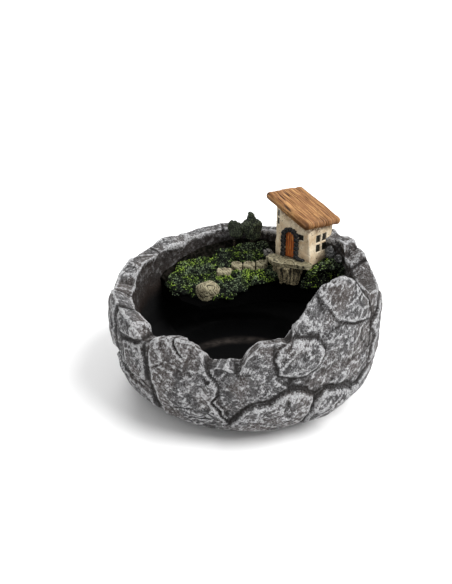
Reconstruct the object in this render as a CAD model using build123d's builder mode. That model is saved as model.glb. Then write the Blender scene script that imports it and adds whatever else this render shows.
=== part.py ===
"""Cast resin rock bowl with a planted bank, a stone path and a small cottage inside.

Frame: +Z up, the front of the bowl faces -Y, origin in the middle of the resting face.
"""

from build123d import *
from math import cos, hypot, radians, sin, sqrt
import os

os.makedirs("parts", exist_ok=True)

# ---- driving dimensions, mm -------------------------------------------------
bowl_radius = 110.0            # widest point of the rock wall
belly_height = 68.0            # height of that widest point
foot_radius = 80.0             # edge of the flat ground face
wall_top = 150.0               # blank height before the rim is broken off
cavity_radius = 91.5           # inside of the wall at the planted bank
floor_thickness = 12.0

pad_radius = 66.0              # foam disc that the bowl rests on
pad_thickness = 2.5
pad_recess = 1.5

bank_underside = 52.0          # underside of the planted bank at its front edge
bank_level = 46.0              # where the bank's slope would meet the bowl's axis
bank_rise_x, bank_rise_y = 0.043, 0.478
moss_depth = 3.0
planting_depth = 2.5           # how deep the shrub stems stand in the bank
terrace_level = 84.0           # flat ground that the cottage stands on
slab_thickness = 4.0

roof_thickness = 6.5
arch_proud = 2.2               # how far the door's stone arch stands out of the wall
pane_depth = 1.2               # thickness of a dark window pane let into the wall
pocket_depth = 2.0             # depth of the door and window pockets
door_setback = 0.6             # how far the door's face lies behind the wall

# The broken rim, stone by stone: (angle from +X in degrees, outer height, inner height).
rim_stones = {
    "right_low": ((0, 90, 82), (11, 95, 85), (19, 104, 94)),
    "right_ridge": ((27, 109, 108), (35, 104, 104), (42, 110, 106), (53, 103, 102)),
    "behind_cottage": ((66, 98, 99), (78, 96, 98)),
    "back_peak": ((99, 101, 100), (111, 98, 97), (120, 95, 96)),
    "back_left": ((130, 96, 93), (140, 93, 91), (155, 90, 90)),
    "left_low": ((165, 84, 86), (173, 80, 78)),
    "left_slab": ((183, 82, 77), (195, 90, 83), (206, 88, 83), (217, 86, 82)),
    "left_notch": ((222, 77, 72), (227, 76, 75)),
    "round_boulder": ((233, 84, 80), (240, 90, 84), (246, 88, 78), (251, 82, 74)),
    "front_notch": ((255, 68, 71), (260, 73, 74), (266, 68, 72)),
    "front_plate": ((271, 80, 78), (276, 90, 87), (282, 91, 88), (286, 88, 86)),
    "tall_boulder": ((290, 104, 93), (297, 122, 105), (303, 134, 117), (312, 132, 125),
                     (318, 125, 118), (329, 108, 104)),
    "right_shoulder": ((340, 97, 92), (351, 92, 86)),
}
rim_inner_radius, rim_outer_radius = cavity_radius, 104.0
cut_inner_radius, cut_outer_radius = 74.0, 128.0

# Flat faces knocked on the rock: (first angle, count, tilt, distance from the origin).
boulder_rows = (
    (8, 10, -38, 67.2),
    (22, 12, -9, 99.6),
    (2, 11, 13, 123.6),
)

# Open joints between the rocks: (angle, height, roll, length, depth).
rock_joints = (
    (198, 52, 82, 62, 4.0),
    (222, 60, 60, 42, 3.0),
    (238, 34, -8, 60, 3.0),
    (256, 50, 75, 42, 3.5),
    (275, 62, 20, 44, 3.0),
    (288, 62, 70, 40, 3.5),
    (315, 46, 12, 64, 3.5),
    (335, 72, 62, 46, 3.0),
    (10, 56, 20, 58, 3.0),
    (40, 40, -15, 54, 3.0),
    (70, 62, 70, 46, 3.0),
    (95, 38, 12, 56, 3.0),
    (125, 60, 66, 48, 3.0),
    (152, 44, -12, 52, 3.0),
)

# Low stones that stand out at the foot of the wall: (angle, height of their top).
skirt_stones = ((277, 42), (301, 44))

# ---- points that several pieces share ---------------------------------------
facade_front = (54.6, 42.8)    # corner between the door wall and the side wall
facade_left = (31.0, 60.5)     # far end of the door wall
end_corner = (27.5, 69.0)      # far end of the narrow end wall
rear_corner = (43.0, 76.0)
side_corner = (72.5, 59.3)
side_flare = 4.0               # the side wall is this much longer under the roof

roof_high_left = Vector(18.6, 62.4, 145.0)
roof_low_front = Vector(52.3, 37.0, 124.4)
roof_high_back = Vector(50.2, 84.0, 142.0)
roof_low_right = roof_high_back + roof_low_front - roof_high_left
roof_normal = (roof_low_front - roof_high_left).cross(roof_high_back - roof_high_left).normalized()

slab_level = terrace_level + slab_thickness


def bank_height(x, y):
    """Height of the sloping ground of the planted bank at a place."""
    return bank_level + bank_rise_x * x + bank_rise_y * y


def under_roof(x, y):
    """Height of the roof slab's underside at a place."""
    anchor = roof_high_left - roof_normal * roof_thickness
    return anchor.Z - (roof_normal.X * (x - anchor.X) + roof_normal.Y * (y - anchor.Y)) / roof_normal.Z


def ring_point(angle, radius, height):
    """Point at an angle and radius around the bowl's axis."""
    return (radius * cos(radians(angle)), radius * sin(radians(angle)), height)


def prism(outline, low, high):
    """Closed upright prism over a plan outline, as a convex or concave piece."""
    with BuildPart() as piece:
        with BuildSketch(Plane.XY.offset(low)):
            with BuildLine():
                Polyline(*outline, close=True)
            make_face()
        extrude(amount=high - low)
    return piece.part


def hull(points):
    """Rough stone: the convex hull of its corners."""
    with BuildPart() as piece:
        ConvexPolyhedron(points)
    return piece.part


def stone_points(centre, half_sizes, turn=0.0, flat_bottom=True):
    """Corners of a small worn rock: a low ring, a wide ring and an off-centre crown."""
    cx, cy, cz = centre
    hx, hy, hz = half_sizes
    corners = []
    rings = ((-1.0, 0.78, 0.0), (-0.1, 1.0, 20.0), (0.62, 0.78, 45.0), (1.0, 0.36, 10.0))
    for level, spread, shift in rings:
        for step in range(6):
            around = radians(60 * step + shift)
            bump = 1.0 + 0.08 * cos(3 * around + level * 5)
            x = hx * spread * bump * cos(around)
            y = hy * spread * bump * sin(around)
            height = 0.0 if flat_bottom and level == -1.0 else 0.06 * hz * sin(2 * around)
            corners.append((
                cx + x * cos(radians(turn)) - y * sin(radians(turn)),
                cy + x * sin(radians(turn)) + y * cos(radians(turn)),
                cz + hz * level + height,
            ))
    return corners


def save(piece, name):
    """Label one finished piece and write it as its own STEP file."""
    piece.label = name
    export_step(piece, f"parts/{name}.step")


# ---- inside of the bowl ------------------------------------------------------
def make_cavity():
    """Solid of the bowl's inside, from the floor to above the rim."""
    with BuildPart() as cavity:
        with BuildSketch(Plane.XZ):
            with BuildLine():
                floor = Line((0, floor_thickness), (58, floor_thickness))
                curve = ThreePointArc(floor @ 1, (80, 27), (cavity_radius, belly_height))
                wall = Line(curve @ 1, (cavity_radius, wall_top + 10))
                Polyline(wall @ 1, (0, wall_top + 10), (0, floor_thickness))
            make_face()
        revolve(axis=Axis.Z)
    return cavity.part


# ---- rock bowl ---------------------------------------------------------------
def rim_cutters():
    """Wedges that break the rim off between each two neighbouring rim points."""
    stations = [station for stone in rim_stones.values() for station in stone]
    cutters = []
    for here, there in zip(stations, stations[1:] + [(360, *stations[0][1:])]):
        corners = []
        for angle, outer, inner in (here, there):
            slope = (outer - inner) / (rim_outer_radius - rim_inner_radius)
            for radius in (cut_inner_radius, cut_outer_radius):
                edge = inner + slope * (radius - rim_inner_radius)
                corners.append(ring_point(angle, radius, edge))
                corners.append(ring_point(angle, radius, wall_top + 60))
        cutters.append(corners)
    return cutters


def cottage_corners(margin=0.0):
    """Corners of the cottage's wall block, widened by a margin for the niche in the rim."""
    side_x, side_y = side_corner[0] - facade_front[0], side_corner[1] - facade_front[1]
    reach = hypot(side_x, side_y)
    flare = (side_corner[0] + side_x / reach * side_flare, side_corner[1] + side_y / reach * side_flare)
    feet = (facade_front, facade_left, end_corner, rear_corner, side_corner)
    heads = (facade_front, facade_left, end_corner, rear_corner, flare)
    middle = Vector(sum(x for x, _ in feet) / len(feet), sum(y for _, y in feet) / len(feet))
    corners = []
    for (x, y), (top_x, top_y) in zip(feet, heads):
        foot = Vector(x, y)
        head = Vector(top_x, top_y)
        foot = foot + (foot - middle).normalized() * margin
        head = head + (head - middle).normalized() * margin
        corners.append((foot.X, foot.Y, terrace_level - margin))
        corners.append((head.X, head.Y, under_roof(head.X, head.Y) + margin))
    return corners


def make_rock_bowl(cavity):
    """Thick rock-like wall: a turned blank, flat rock faces, open joints and a broken rim."""
    with BuildPart() as bowl:
        with BuildSketch(Plane.XZ):
            with BuildLine():
                foot = Line((0, pad_thickness - pad_recess), (foot_radius, pad_thickness - pad_recess))
                wall = Spline(foot @ 1, (97, 15), (108.5, 48), (bowl_radius, belly_height),
                              (105.5, 105), (97, wall_top))
                Polyline(wall @ 1, (0, wall_top), (0, pad_thickness - pad_recess))
            make_face()
        revolve(axis=Axis.Z)
        for first, count, tilt, distance in boulder_rows:
            for step in range(count):
                angle = first + 360 * step / count + 5 * sin(2.3 * step)
                lean = tilt + 3 * sin(1.7 * step + first)
                reach = distance + 0.7 * sin(3.1 * step + first)
                facing = Vector(*ring_point(angle, cos(radians(lean)), sin(radians(lean))))
                split(bisect_by=Plane(origin=facing * reach, z_dir=facing), keep=Keep.BOTTOM)
        for angle, height, roll, length, depth in rock_joints:
            outward = Vector(*ring_point(angle, 1, 0))
            along = Vector(*ring_point(angle + 90, cos(radians(roll)), sin(radians(roll))))
            radius = bowl_radius - 0.0035 * (height - belly_height) ** 2
            place = Plane(origin=Vector(*ring_point(angle, radius, height)), x_dir=along, z_dir=outward)
            with Locations(place):
                Box(length, depth * sqrt(2), depth * sqrt(2), rotation=(45, 0, 0), mode=Mode.SUBTRACT)
        for middle, top in skirt_stones:
            skirt = []
            for turn in (-14, -9, -3, 3, 9, 14):
                fade = 1 - (turn / 22) ** 2
                angle = middle + turn
                skirt.append(ring_point(angle, foot_radius + 4 * fade, pad_thickness - pad_recess))
                skirt.append(ring_point(angle, 96 + 6 * fade, 12))
                skirt.append(ring_point(angle, 104 + 5 * fade, top * fade - 8))
                skirt.append(ring_point(angle, 94, top * fade))
                skirt.append(ring_point(angle, 70, top * fade))
            ConvexPolyhedron(skirt)
        for corners in rim_cutters():
            ConvexPolyhedron(corners, mode=Mode.SUBTRACT)
        add(cavity, mode=Mode.SUBTRACT)
        ConvexPolyhedron(cottage_corners(margin=0.4), mode=Mode.SUBTRACT)
        with Locations((0, 0, pad_thickness)):
            Cylinder(pad_radius + 0.5, 2 * pad_recess, align=(Align.CENTER, Align.CENTER, Align.CENTER),
                     mode=Mode.SUBTRACT)
    return bowl.part


def make_base_pad():
    """Foam disc let into the underside."""
    with BuildPart() as pad:
        Cylinder(pad_radius, pad_thickness, align=(Align.CENTER, Align.CENTER, Align.MIN))
    return pad.part


# ---- small stones, set into the bank ----------------------------------------
step_outlines = (
    ((-23.0, 50.0), (-18.0, 48.5), (-11.5, 50.5), (-11.0, 56.5), (-15.0, 58.5), (-22.0, 57.5)),
    ((-10.0, 56.0), (-4.0, 54.5), (-1.5, 57.0), (-2.0, 63.0), (-7.0, 64.5), (-10.5, 62.0)),
    ((0.0, 56.5), (5.0, 54.5), (9.5, 56.0), (10.0, 62.0), (5.5, 64.5), (0.5, 63.0)),
    ((11.5, 55.0), (17.0, 54.0), (20.5, 57.0), (20.0, 62.5), (15.0, 64.5), (11.5, 61.5)),
)
step_tops = (74.0, 77.0, 77.5, 79.0)
step_thickness = 7.0

boulder_corners = stone_points((-31.0, 35.0, 65.0), (11.0, 7.5, 6.5), turn=8)

slab_outline = ((18.5, 55.0), (24.5, 62.0), facade_left, facade_front, (59.0, 40.5), (51.0, 33.0),
                (38.0, 38.5), (27.0, 41.5))

corbel_corners = (
    (27.0, 45.5, 84.0), (37.0, 41.0, 84.0), (49.0, 38.5, 84.0), (51.0, 47.0, 84.0), (29.0, 57.0, 84.0),
    (28.0, 46.0, 77.0), (38.0, 40.0, 76.0), (49.5, 40.0, 77.0),
    (31.0, 50.0, 64.0), (38.0, 45.5, 63.0), (45.0, 46.5, 65.0), (44.0, 58.0, 64.0), (33.0, 60.0, 64.0),
)

terrace_outline = ((22.5, 60.0), (29.0, 49.0), (38.0, 46.0), (52.0, 41.5), (60.0, 40.0), (71.0, 43.5),
                   (79.0, 50.0), (98.0, 62.0), (62.0, 98.0), (18.0, 104.0), (20.5, 76.0))

bank_outline = ((-110.0, 70.0), (-74.0, 57.0), (-61.0, 41.0), (-53.0, 30.0), (-37.0, 23.0), (-16.0, 30.0),
                (5.0, 44.0), (23.0, 48.0), (41.0, 48.0), (58.0, 43.0), (74.0, 33.0), (104.0, 20.0),
                (104.0, 110.0), (-110.0, 110.0))

wall_rocks = {
    "rock_by_door": stone_points((21.0, 69.0, 86.0), (5.6, 4.0, 3.4), turn=-30),
    "rock_by_wall_large": stone_points((72.8, 45.8, 94.0), (4.9, 4.2, 5.8), turn=20),
    "rock_by_wall_small": stone_points((78.6, 38.0, 91.5), (3.8, 3.2, 3.4), turn=-15),
}

shrubs = {
    "shrub_short": {"place": (-8.0, 82.0), "foot": 92.0, "top": 108.0, "radius": 6.6, "trunk": 1.5},
    "shrub_tall": {"place": (8.0, 82.5), "foot": 95.0, "top": 119.5, "radius": 8.6, "trunk": 1.9},
}


moss_outlines = {
    "moss_left": ((-110.0, 72.0), (-74.0, 57.0), (-61.0, 41.0), (-53.0, 30.0), (-44.2, 26.5), (-44.2, 44.2),
                  (-24.2, 44.2), (-24.2, 110.0), (-110.0, 110.0)),
    "moss_front": ((-44.0, 26.4), (-37.0, 23.0), (-16.0, 30.0), (5.0, 44.0), (23.0, 48.0), (28.5, 49.0),
                   (22.5, 60.0), (21.0, 54.0), (-10.8, 54.0), (-10.8, 48.3), (-24.0, 48.3), (-24.0, 44.0),
                   (-44.0, 44.0)),
    "moss_back": ((-24.0, 59.0), (-10.6, 59.0), (-10.6, 66.0), (20.5, 66.0), (20.5, 76.0), (18.0, 104.0),
                  (-24.0, 110.0)),
}
drape_corners = (
    (50.0, 42.0, 66.0), (59.0, 34.0, 67.0), (74.0, 27.0, 71.0), (88.0, 20.0, 76.0), (57.5, 38.0, 82.5),
    (71.0, 52.0, 88.0), (77.0, 50.0, 89.5), (82.0, 41.0, 89.0), (90.0, 26.0, 84.0), (90.0, 34.0, 87.0),
    (60.0, 48.0, 66.0), (92.0, 40.0, 80.0),
)


# ---- planted bank --------------------------------------------------------------
def slope_block(lift, depth):
    """Slab of space that follows the bank's slope, from `lift` above it down by `depth`."""
    rising = Vector(-bank_rise_x, -bank_rise_y, 1)
    surface = Plane(origin=(0, 0, bank_level + lift), x_dir=(1, 0, bank_rise_x), z_dir=rising)
    with BuildPart() as block:
        with BuildSketch(surface):
            Rectangle(400, 400)
        extrude(amount=-depth / rising.length)
    return block.part


def make_garden_bank(cavity, terrace, seats):
    """Crescent ledge cast against the inside of the wall, with a raised terrace."""
    ledge = prism(bank_outline, 30, 100)
    ground = slope_block(0.0, 200.0)
    under = Plane(origin=(0, 25, bank_underside), z_dir=(0, 0.2, 1))
    with BuildPart() as bank:
        add(ledge)
        add(ground, mode=Mode.INTERSECT)
        add(terrace)
        split(bisect_by=under, keep=Keep.TOP)
        add(cavity, mode=Mode.INTERSECT)
        for seat in seats:
            add(seat, mode=Mode.SUBTRACT)
    return bank.part


def make_moss(outline, cavity, cutouts, lift=moss_depth):
    """Patch of moss flock lying on the bank's slope inside an outline."""
    patch = prism(outline, 40, 130)
    layer = slope_block(lift, lift)
    with BuildPart() as moss:
        add(patch)
        add(layer, mode=Mode.INTERSECT)
        add(cavity, mode=Mode.INTERSECT)
        for cutout in cutouts:
            add(cutout, mode=Mode.SUBTRACT)
    return moss.part


def make_moss_drape(corners, cavity, cutouts):
    """Moss hanging down a steep face of the bank."""
    with BuildPart() as moss:
        ConvexPolyhedron(corners)
        add(cavity, mode=Mode.INTERSECT)
        for cutout in cutouts:
            add(cutout, mode=Mode.SUBTRACT)
    return moss.part


# ---- cottage -------------------------------------------------------------------
def wall_plane(start, end):
    """Plane of an upright wall: x along it from start, y up from the terrace, z outward."""
    along = Vector(end[0] - start[0], end[1] - start[1], 0).normalized()
    return Plane(origin=(start[0], start[1], terrace_level), x_dir=along, z_dir=along.cross(Vector(0, 0, 1)))


door_wall = wall_plane(facade_left, facade_front)
side_wall = wall_plane(facade_front, side_corner)
end_wall = wall_plane(end_corner, facade_left)

door_centre = 10.6             # distance of the door's middle along the door wall
door_half_width = 4.6
door_spring = slab_thickness + 18.0
arch_width = 3.4
door_pane = (21.0, 24.2, 4.4, 4.6)
side_panes = tuple((x, y, 4.8, 6.2) for x in (11.6, 19.2) for y in (13.2, 22.0))
end_panes = ((4.6, 33.0, 3.4, 5.2), (4.6, 40.0, 3.4, 5.2))


def arch_outline(half_width, foot=slab_thickness):
    """Edges of a door or arch: straight jambs with a half-round head."""
    with BuildLine() as outline:
        left = Line((door_centre - half_width, foot), (door_centre - half_width, door_spring))
        head = ThreePointArc(left @ 1, (door_centre, door_spring + half_width * 1.12),
                             (door_centre + half_width, door_spring))
        Polyline(head @ 1, (door_centre + half_width, foot), left @ 0)
    return outline.edges()


def make_walls():
    """Plastered wall block with pockets for the door and the panes."""
    doorway = arch_outline(door_half_width)
    with BuildPart() as walls:
        ConvexPolyhedron(cottage_corners())
        with BuildSketch(door_wall):
            make_face(doorway)
        extrude(amount=-pocket_depth, mode=Mode.SUBTRACT)
        for plane, panes in ((door_wall, (door_pane,)), (side_wall, side_panes), (end_wall, end_panes)):
            with BuildSketch(plane):
                for x, y, width, height in panes:
                    with Locations((x, y)):
                        Rectangle(width, height)
            extrude(amount=-pocket_depth, mode=Mode.SUBTRACT)
    return walls.part


def make_panes(plane, panes):
    """Dark panes at the bottom of their pockets."""
    with BuildPart() as glass:
        with BuildSketch(plane.offset(-pocket_depth)):
            for x, y, width, height in panes:
                with Locations((x, y)):
                    Rectangle(width, height)
        extrude(amount=pane_depth)
    return glass.part


def make_door_leaf():
    """Plank door at the bottom of its pocket."""
    doorway = arch_outline(door_half_width)
    with BuildPart() as leaf:
        with BuildSketch(door_wall.offset(-pocket_depth)):
            make_face(doorway)
        extrude(amount=pocket_depth - door_setback)
    return leaf.part


def make_door_arch():
    """Stone surround that stands out of the wall round the door."""
    outside = arch_outline(door_half_width + arch_width)
    inside = arch_outline(door_half_width)
    with BuildPart() as arch:
        with BuildSketch(door_wall):
            make_face(outside)
            make_face(inside, mode=Mode.SUBTRACT)
        extrude(amount=arch_proud)
    return arch.part


def make_door_sill():
    """Dark stone lying on the slab at the right foot of the arch."""
    with BuildPart() as sill:
        with BuildSketch(door_wall):
            with Locations((door_centre + door_half_width + arch_width + 4.2, slab_thickness + 1.3)):
                Rectangle(7.0, 2.6)
        extrude(amount=4.0)
        chamfer(sill.faces().sort_by(Axis.Z)[-1].edges(), 0.6)
    return sill.part


def make_roof():
    """Single pitched roof slab with rounded edges."""
    downhill = roof_low_front - roof_high_left
    surface = Plane(origin=roof_high_left, x_dir=downhill, z_dir=roof_normal)
    corners = [surface.to_local_coords(corner)
               for corner in (roof_high_left, roof_high_back, roof_low_right, roof_low_front)]
    with BuildPart() as roof:
        with BuildSketch(surface) as outline:
            with BuildLine():
                Polyline(*[(corner.X, corner.Y) for corner in corners], close=True)
            make_face()
            fillet(outline.vertices(), 3.0)
        extrude(amount=-roof_thickness)
        fillet(roof.faces().filter_by(Plane(origin=roof_high_left, z_dir=roof_normal)).edges(), 1.6)
    return roof.part


# ---- shrubs --------------------------------------------------------------------
def make_foliage(place, foot, top, radius, **_):
    """Clipped evergreen: a rounded spindle."""
    with BuildPart() as foliage:
        with BuildSketch(Plane(origin=(*place, 0), x_dir=(1, 0, 0), z_dir=(0, -1, 0))):
            with BuildLine():
                side = Spline((0, foot), (radius * 0.8, foot + 0.16 * (top - foot)),
                              (radius, foot + 0.42 * (top - foot)),
                              (radius * 0.72, foot + 0.78 * (top - foot)), (0, top))
                Line(side @ 1, side @ 0)
            make_face()
        revolve(axis=Axis(origin=(*place, 0), direction=(0, 0, 1)))
    return foliage.part


def make_trunk(place, foot, trunk, radius=None, top=None):
    """Short stem from the bank up to the foliage."""
    root = bank_height(*place) - planting_depth
    with BuildPart(Plane(origin=(*place, root))) as stem:
        Cylinder(trunk, foot - root, align=(Align.CENTER, Align.CENTER, Align.MIN))
    return stem.part


# ---- build and write every piece -------------------------------------------------
cavity = make_cavity()
walls = make_walls()
steps = [prism(outline, top - step_thickness, top) for outline, top in zip(step_outlines, step_tops)]
boulder = hull(boulder_corners)
slab = prism(slab_outline, terrace_level, slab_level)
corbel = hull(corbel_corners)
rocks = {name: hull(corners) for name, corners in wall_rocks.items()}
trunks = {name: make_trunk(**shrub) for name, shrub in shrubs.items()}
terrace = prism(terrace_outline, 50, terrace_level)

settled = [walls, boulder, corbel, *steps, *rocks.values(), *trunks.values()]
bank = make_garden_bank(cavity, terrace, settled)

save(make_rock_bowl(cavity), "rock_bowl")
save(make_base_pad(), "base_pad")
save(bank, "garden_bank")
for name, outline in moss_outlines.items():
    save(make_moss(outline, cavity, [terrace, *settled]), name)
save(make_moss_drape(drape_corners, cavity, [bank, slab, *settled]), "moss_right")
for number, step in enumerate(steps, start=1):
    save(step, f"step_stone_{number}")
save(boulder, "path_boulder")
save(slab, "doorstep_slab")
save(corbel, "slab_corbel")
for name, rock in rocks.items():
    save(rock, name)
for name, shrub in shrubs.items():
    save(make_foliage(**shrub), name)
    save(trunks[name], f"{name}_trunk")
save(walls, "cottage_walls")
save(make_roof(), "cottage_roof")
save(make_door_leaf(), "door_leaf")
save(make_door_arch(), "door_arch")
save(make_door_sill(), "door_sill")
save(make_panes(door_wall, (door_pane,)), "front_window_pane")
save(make_panes(side_wall, side_panes), "side_window_panes")
save(make_panes(end_wall, end_panes), "end_window_panes")
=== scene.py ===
# %% [markdown]
# # A cast rock bowl with a cottage garden inside
# The object is a heavy resin bowl that looks like broken boulders. Inside its back wall sits a
# mossy bank with a stone path, two clipped shrubs and a small plastered cottage.
# The CAD model gives every place and size. This script gives the looks: each piece is a surface
# worked out with numpy, and each finish is a procedural material.

import bpy
import numpy as np
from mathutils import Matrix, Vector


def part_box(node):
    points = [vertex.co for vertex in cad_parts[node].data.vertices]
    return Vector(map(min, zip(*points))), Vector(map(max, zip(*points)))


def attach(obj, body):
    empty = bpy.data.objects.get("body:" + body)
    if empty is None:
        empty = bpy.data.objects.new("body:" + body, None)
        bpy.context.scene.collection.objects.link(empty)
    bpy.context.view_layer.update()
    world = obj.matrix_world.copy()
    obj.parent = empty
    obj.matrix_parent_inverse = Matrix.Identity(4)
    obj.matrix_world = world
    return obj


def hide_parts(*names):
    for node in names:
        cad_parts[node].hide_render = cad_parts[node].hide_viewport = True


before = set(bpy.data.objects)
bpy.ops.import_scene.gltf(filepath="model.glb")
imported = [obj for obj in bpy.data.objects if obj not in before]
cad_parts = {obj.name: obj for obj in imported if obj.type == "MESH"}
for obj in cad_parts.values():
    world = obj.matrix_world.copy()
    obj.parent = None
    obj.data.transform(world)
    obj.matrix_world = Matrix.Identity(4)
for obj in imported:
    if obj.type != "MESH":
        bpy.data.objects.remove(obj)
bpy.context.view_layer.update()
mm = 0.001

# %% [markdown]
# The CAD nodes are meshes that already stand in their places. Their points tell how high the
# rim is, where a stone's outline runs and where moss grows, so nothing is placed by eye.

# %% Read points and faces of a CAD node


def node_object(node):
    """The Blender object of a CAD node."""
    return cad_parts[node]


def node_points(node):
    """All mesh points of a CAD node as an (n, 3) array in metres."""
    mesh = node_object(node).data
    points = np.empty(len(mesh.vertices) * 3)
    mesh.vertices.foreach_get("co", points)
    return points.reshape(-1, 3)


def node_triangles(node):
    """The triangles of a CAD node as an (n, 3, 3) array of corner points."""
    mesh = node_object(node).data
    mesh.calc_loop_triangles()
    corners = np.empty(len(mesh.loop_triangles) * 3, dtype=np.int32)
    mesh.loop_triangles.foreach_get("vertices", corners)
    return node_points(node)[corners.reshape(-1, 3)]


def node_box(node):
    """Low and high corner of a CAD node as two arrays."""
    low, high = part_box(node)
    return np.array(low), np.array(high)


def face_cross(corners):
    """Cross product of two sides of each triangle: along its normal and twice its area long."""
    return np.cross(corners[:, 1] - corners[:, 0], corners[:, 2] - corners[:, 0])


def unit(vector):
    """The vector of length one in the same direction."""
    return vector / np.linalg.norm(vector)


# %% [markdown]
# Stone looks random, but it has to be the same on every run. A small hash turns whole numbers
# into repeatable random ones, and everything below (soft noise, chipped faces) is built on it.

# %% Repeatable noise on whole arrays
lattice_primes = (374761393, 668265263, 2147483647)
seed_stride = 974634777
mixing_steps = ((13, 1274126177), (16, 2246822519))
bits_32, bits_24 = 0xFFFFFFFF, 0xFFFFFF


def hash_numbers(ix, iy, iz, seed):
    """Random 0..1 for each lattice cell: integers mixed by multiply, xor and shift."""
    h = sum(i.astype(np.int64) * prime for i, prime in zip((ix, iy, iz), lattice_primes))
    h = (h + seed * seed_stride) & bits_32
    for shift, factor in mixing_steps:
        h = ((h ^ (h >> shift)) * factor) & bits_32
    return ((h ^ (h >> 15)) & bits_24) / float(bits_24)


def soft_noise(points, size, seed):
    """Value noise, -1..1: random numbers on a lattice, blended smoothly between its corners."""
    place = points / size
    cell = np.floor(place).astype(np.int64)
    part = place - cell
    part = part * part * (3 - 2 * part)
    total = 0.0
    for corner in np.ndindex(2, 2, 2):
        weight = np.ones(points.shape[:-1])
        for axis, side in enumerate(corner):
            weight = weight * (part[..., axis] if side else 1 - part[..., axis])
        index = [cell[..., axis] + side for axis, side in enumerate(corner)]
        total = total + weight * hash_numbers(*index, seed)
    return total * 2 - 1


def rough_noise(points, size, seed, octaves=3):
    """Layers of soft noise, each half as large and half as strong as the one before."""
    layers = [soft_noise(points, size / 2**k, seed + k) / 2**k for k in range(octaves)]
    return sum(layers)


def stretched_noise(first, second, size, seed):
    """Soft noise over two coordinates, which the caller may stretch on their own."""
    return soft_noise(np.stack(np.broadcast_arrays(first, second, 0 * first), axis=-1), size, seed)


# %% [markdown]
# Chiselled stone shows facets. Scattered seeds share out the space between them, each point
# belonging to its nearest seed, and the distance to that seed makes a shallow scoop.

# %% Chipped facets


def chips(points, size, seed):
    """Distances to the two nearest random seeds and a random number of the nearest one."""
    place = points / size
    cell = np.floor(place).astype(np.int64)
    near = np.full(points.shape[:-1], 9.0)
    second = np.full(points.shape[:-1], 9.0)
    owner = np.zeros(points.shape[:-1])
    for step in np.ndindex(3, 3, 3):
        index = [cell[..., axis] + step[axis] - 1 for axis in range(3)]
        jitter = [hash_numbers(*index, seed + axis) for axis in range(3)]
        gap = np.sqrt(sum((index[a] + jitter[a] - place[..., a]) ** 2 for a in range(3)))
        closer = gap < near
        second = np.where(closer, near, np.minimum(second, gap))
        owner = np.where(closer, hash_numbers(*index, seed + 9), owner)
        near = np.where(closer, gap, near)
    return near, second, owner


def smooth_step(value, low, high):
    """0 below low, 1 above high and an S-shaped ramp between them."""
    t = np.clip((value - low) / (high - low), 0, 1)
    return t * t * (3 - 2 * t)


# %% [markdown]
# Most pieces are a grid bent into shape: rows of points that go round and close. Each end is
# closed by a fan of triangles, so that the piece is one shut surface with its faces outward.

# %% Grids: turns, balls and normals


def turns(around):
    """Angles of one full turn, as a row."""
    return np.linspace(0, 2 * np.pi, around, endpoint=False)[None, :]


def unit_ball(rows, around):
    """Rings of directions from the foot of a ball to its head, without the two end points."""
    polar = np.linspace(0, np.pi, rows + 2)[1:-1, None]
    turn = turns(around)
    level = -np.cos(polar) * np.ones_like(turn)
    return np.stack([np.sin(polar) * np.cos(turn), np.sin(polar) * np.sin(turn), level], axis=-1)


def surface_normals(grid):
    """Unit normals of a grid that closes round its columns: row step crossed with column step."""
    along = np.gradient(grid, axis=0)
    around = np.roll(grid, -1, axis=1) - np.roll(grid, 1, axis=1)
    normal = np.cross(around, along)
    return normal / np.maximum(np.linalg.norm(normal, axis=-1, keepdims=True), 1e-12)


# %% [markdown]
# Blender takes a list of points and a list of faces. Extra numbers can ride on the points, such
# as how worn a spot is, and the material reads them later.

# %% Turn a grid of points into a mesh piece


def new_object(name, points, faces):
    """Mesh object from plain arrays, smooth shaded."""
    mesh = bpy.data.meshes.new(name)
    mesh.from_pydata(points.tolist(), [], faces)
    mesh.update()
    mesh.polygons.foreach_set("use_smooth", np.ones(len(mesh.polygons), dtype=bool))
    piece = bpy.data.objects.new(name, mesh)
    bpy.context.scene.collection.objects.link(piece)
    return piece


def add_attribute(piece, name, values):
    """Store one number per point, for the material to read."""
    attribute = piece.data.attributes.new(name, "FLOAT", "POINT")
    attribute.data.foreach_set("value", np.asarray(values, dtype=np.float32).ravel())


def grid_piece(name, grid, attributes=None):
    """Closed piece from (rows, columns, 3) points: quads between rows, a fan at each end."""
    rows, columns = grid.shape[:2]
    index = np.arange(rows * columns).reshape(rows, columns)
    beside = np.roll(index, -1, axis=1)
    quads = np.stack([index[:-1], beside[:-1], beside[1:], index[1:]], axis=-1).reshape(-1, 4)
    low, high = rows * columns, rows * columns + 1
    foot = np.stack([beside[0], index[0], np.full(columns, low)], axis=-1)
    head = np.stack([index[-1], beside[-1], np.full(columns, high)], axis=-1)
    points = np.concatenate([grid.reshape(-1, 3), grid[0].mean(0)[None], grid[-1].mean(0)[None]])
    piece = new_object(name, points, quads.tolist() + foot.tolist() + head.tolist())
    for key, values in (attributes or {}).items():
        ends = [values[0].mean(), values[-1].mean()]
        add_attribute(piece, key, np.concatenate([values.ravel(), ends]))
    return piece


def ridge_and_dip(grid, normal, reach):
    """How far each point stands out of its neighbours' average, -1..1: worn edges and gaps."""
    ring = sum(np.roll(grid, step, axis=1) for step in (-2, -1, 1, 2))
    column = grid.copy()
    column[2:-2] = (grid[:-4] + grid[1:-3] + grid[3:-1] + grid[4:]) / 4
    average = (ring / 4 + column) / 2
    return np.clip(np.sum((grid - average) * normal, axis=-1) / reach, -1, 1)


# %% [markdown]
# ## Camera, floor and light
# The bowl is seen from the front and a little above. A soft light from the upper right models
# the rock, a weak one from the left opens the shadows, and the floor is plain and pale.
# The lens follows from the focal length and the height of the frame, both in the same unit.

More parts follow.
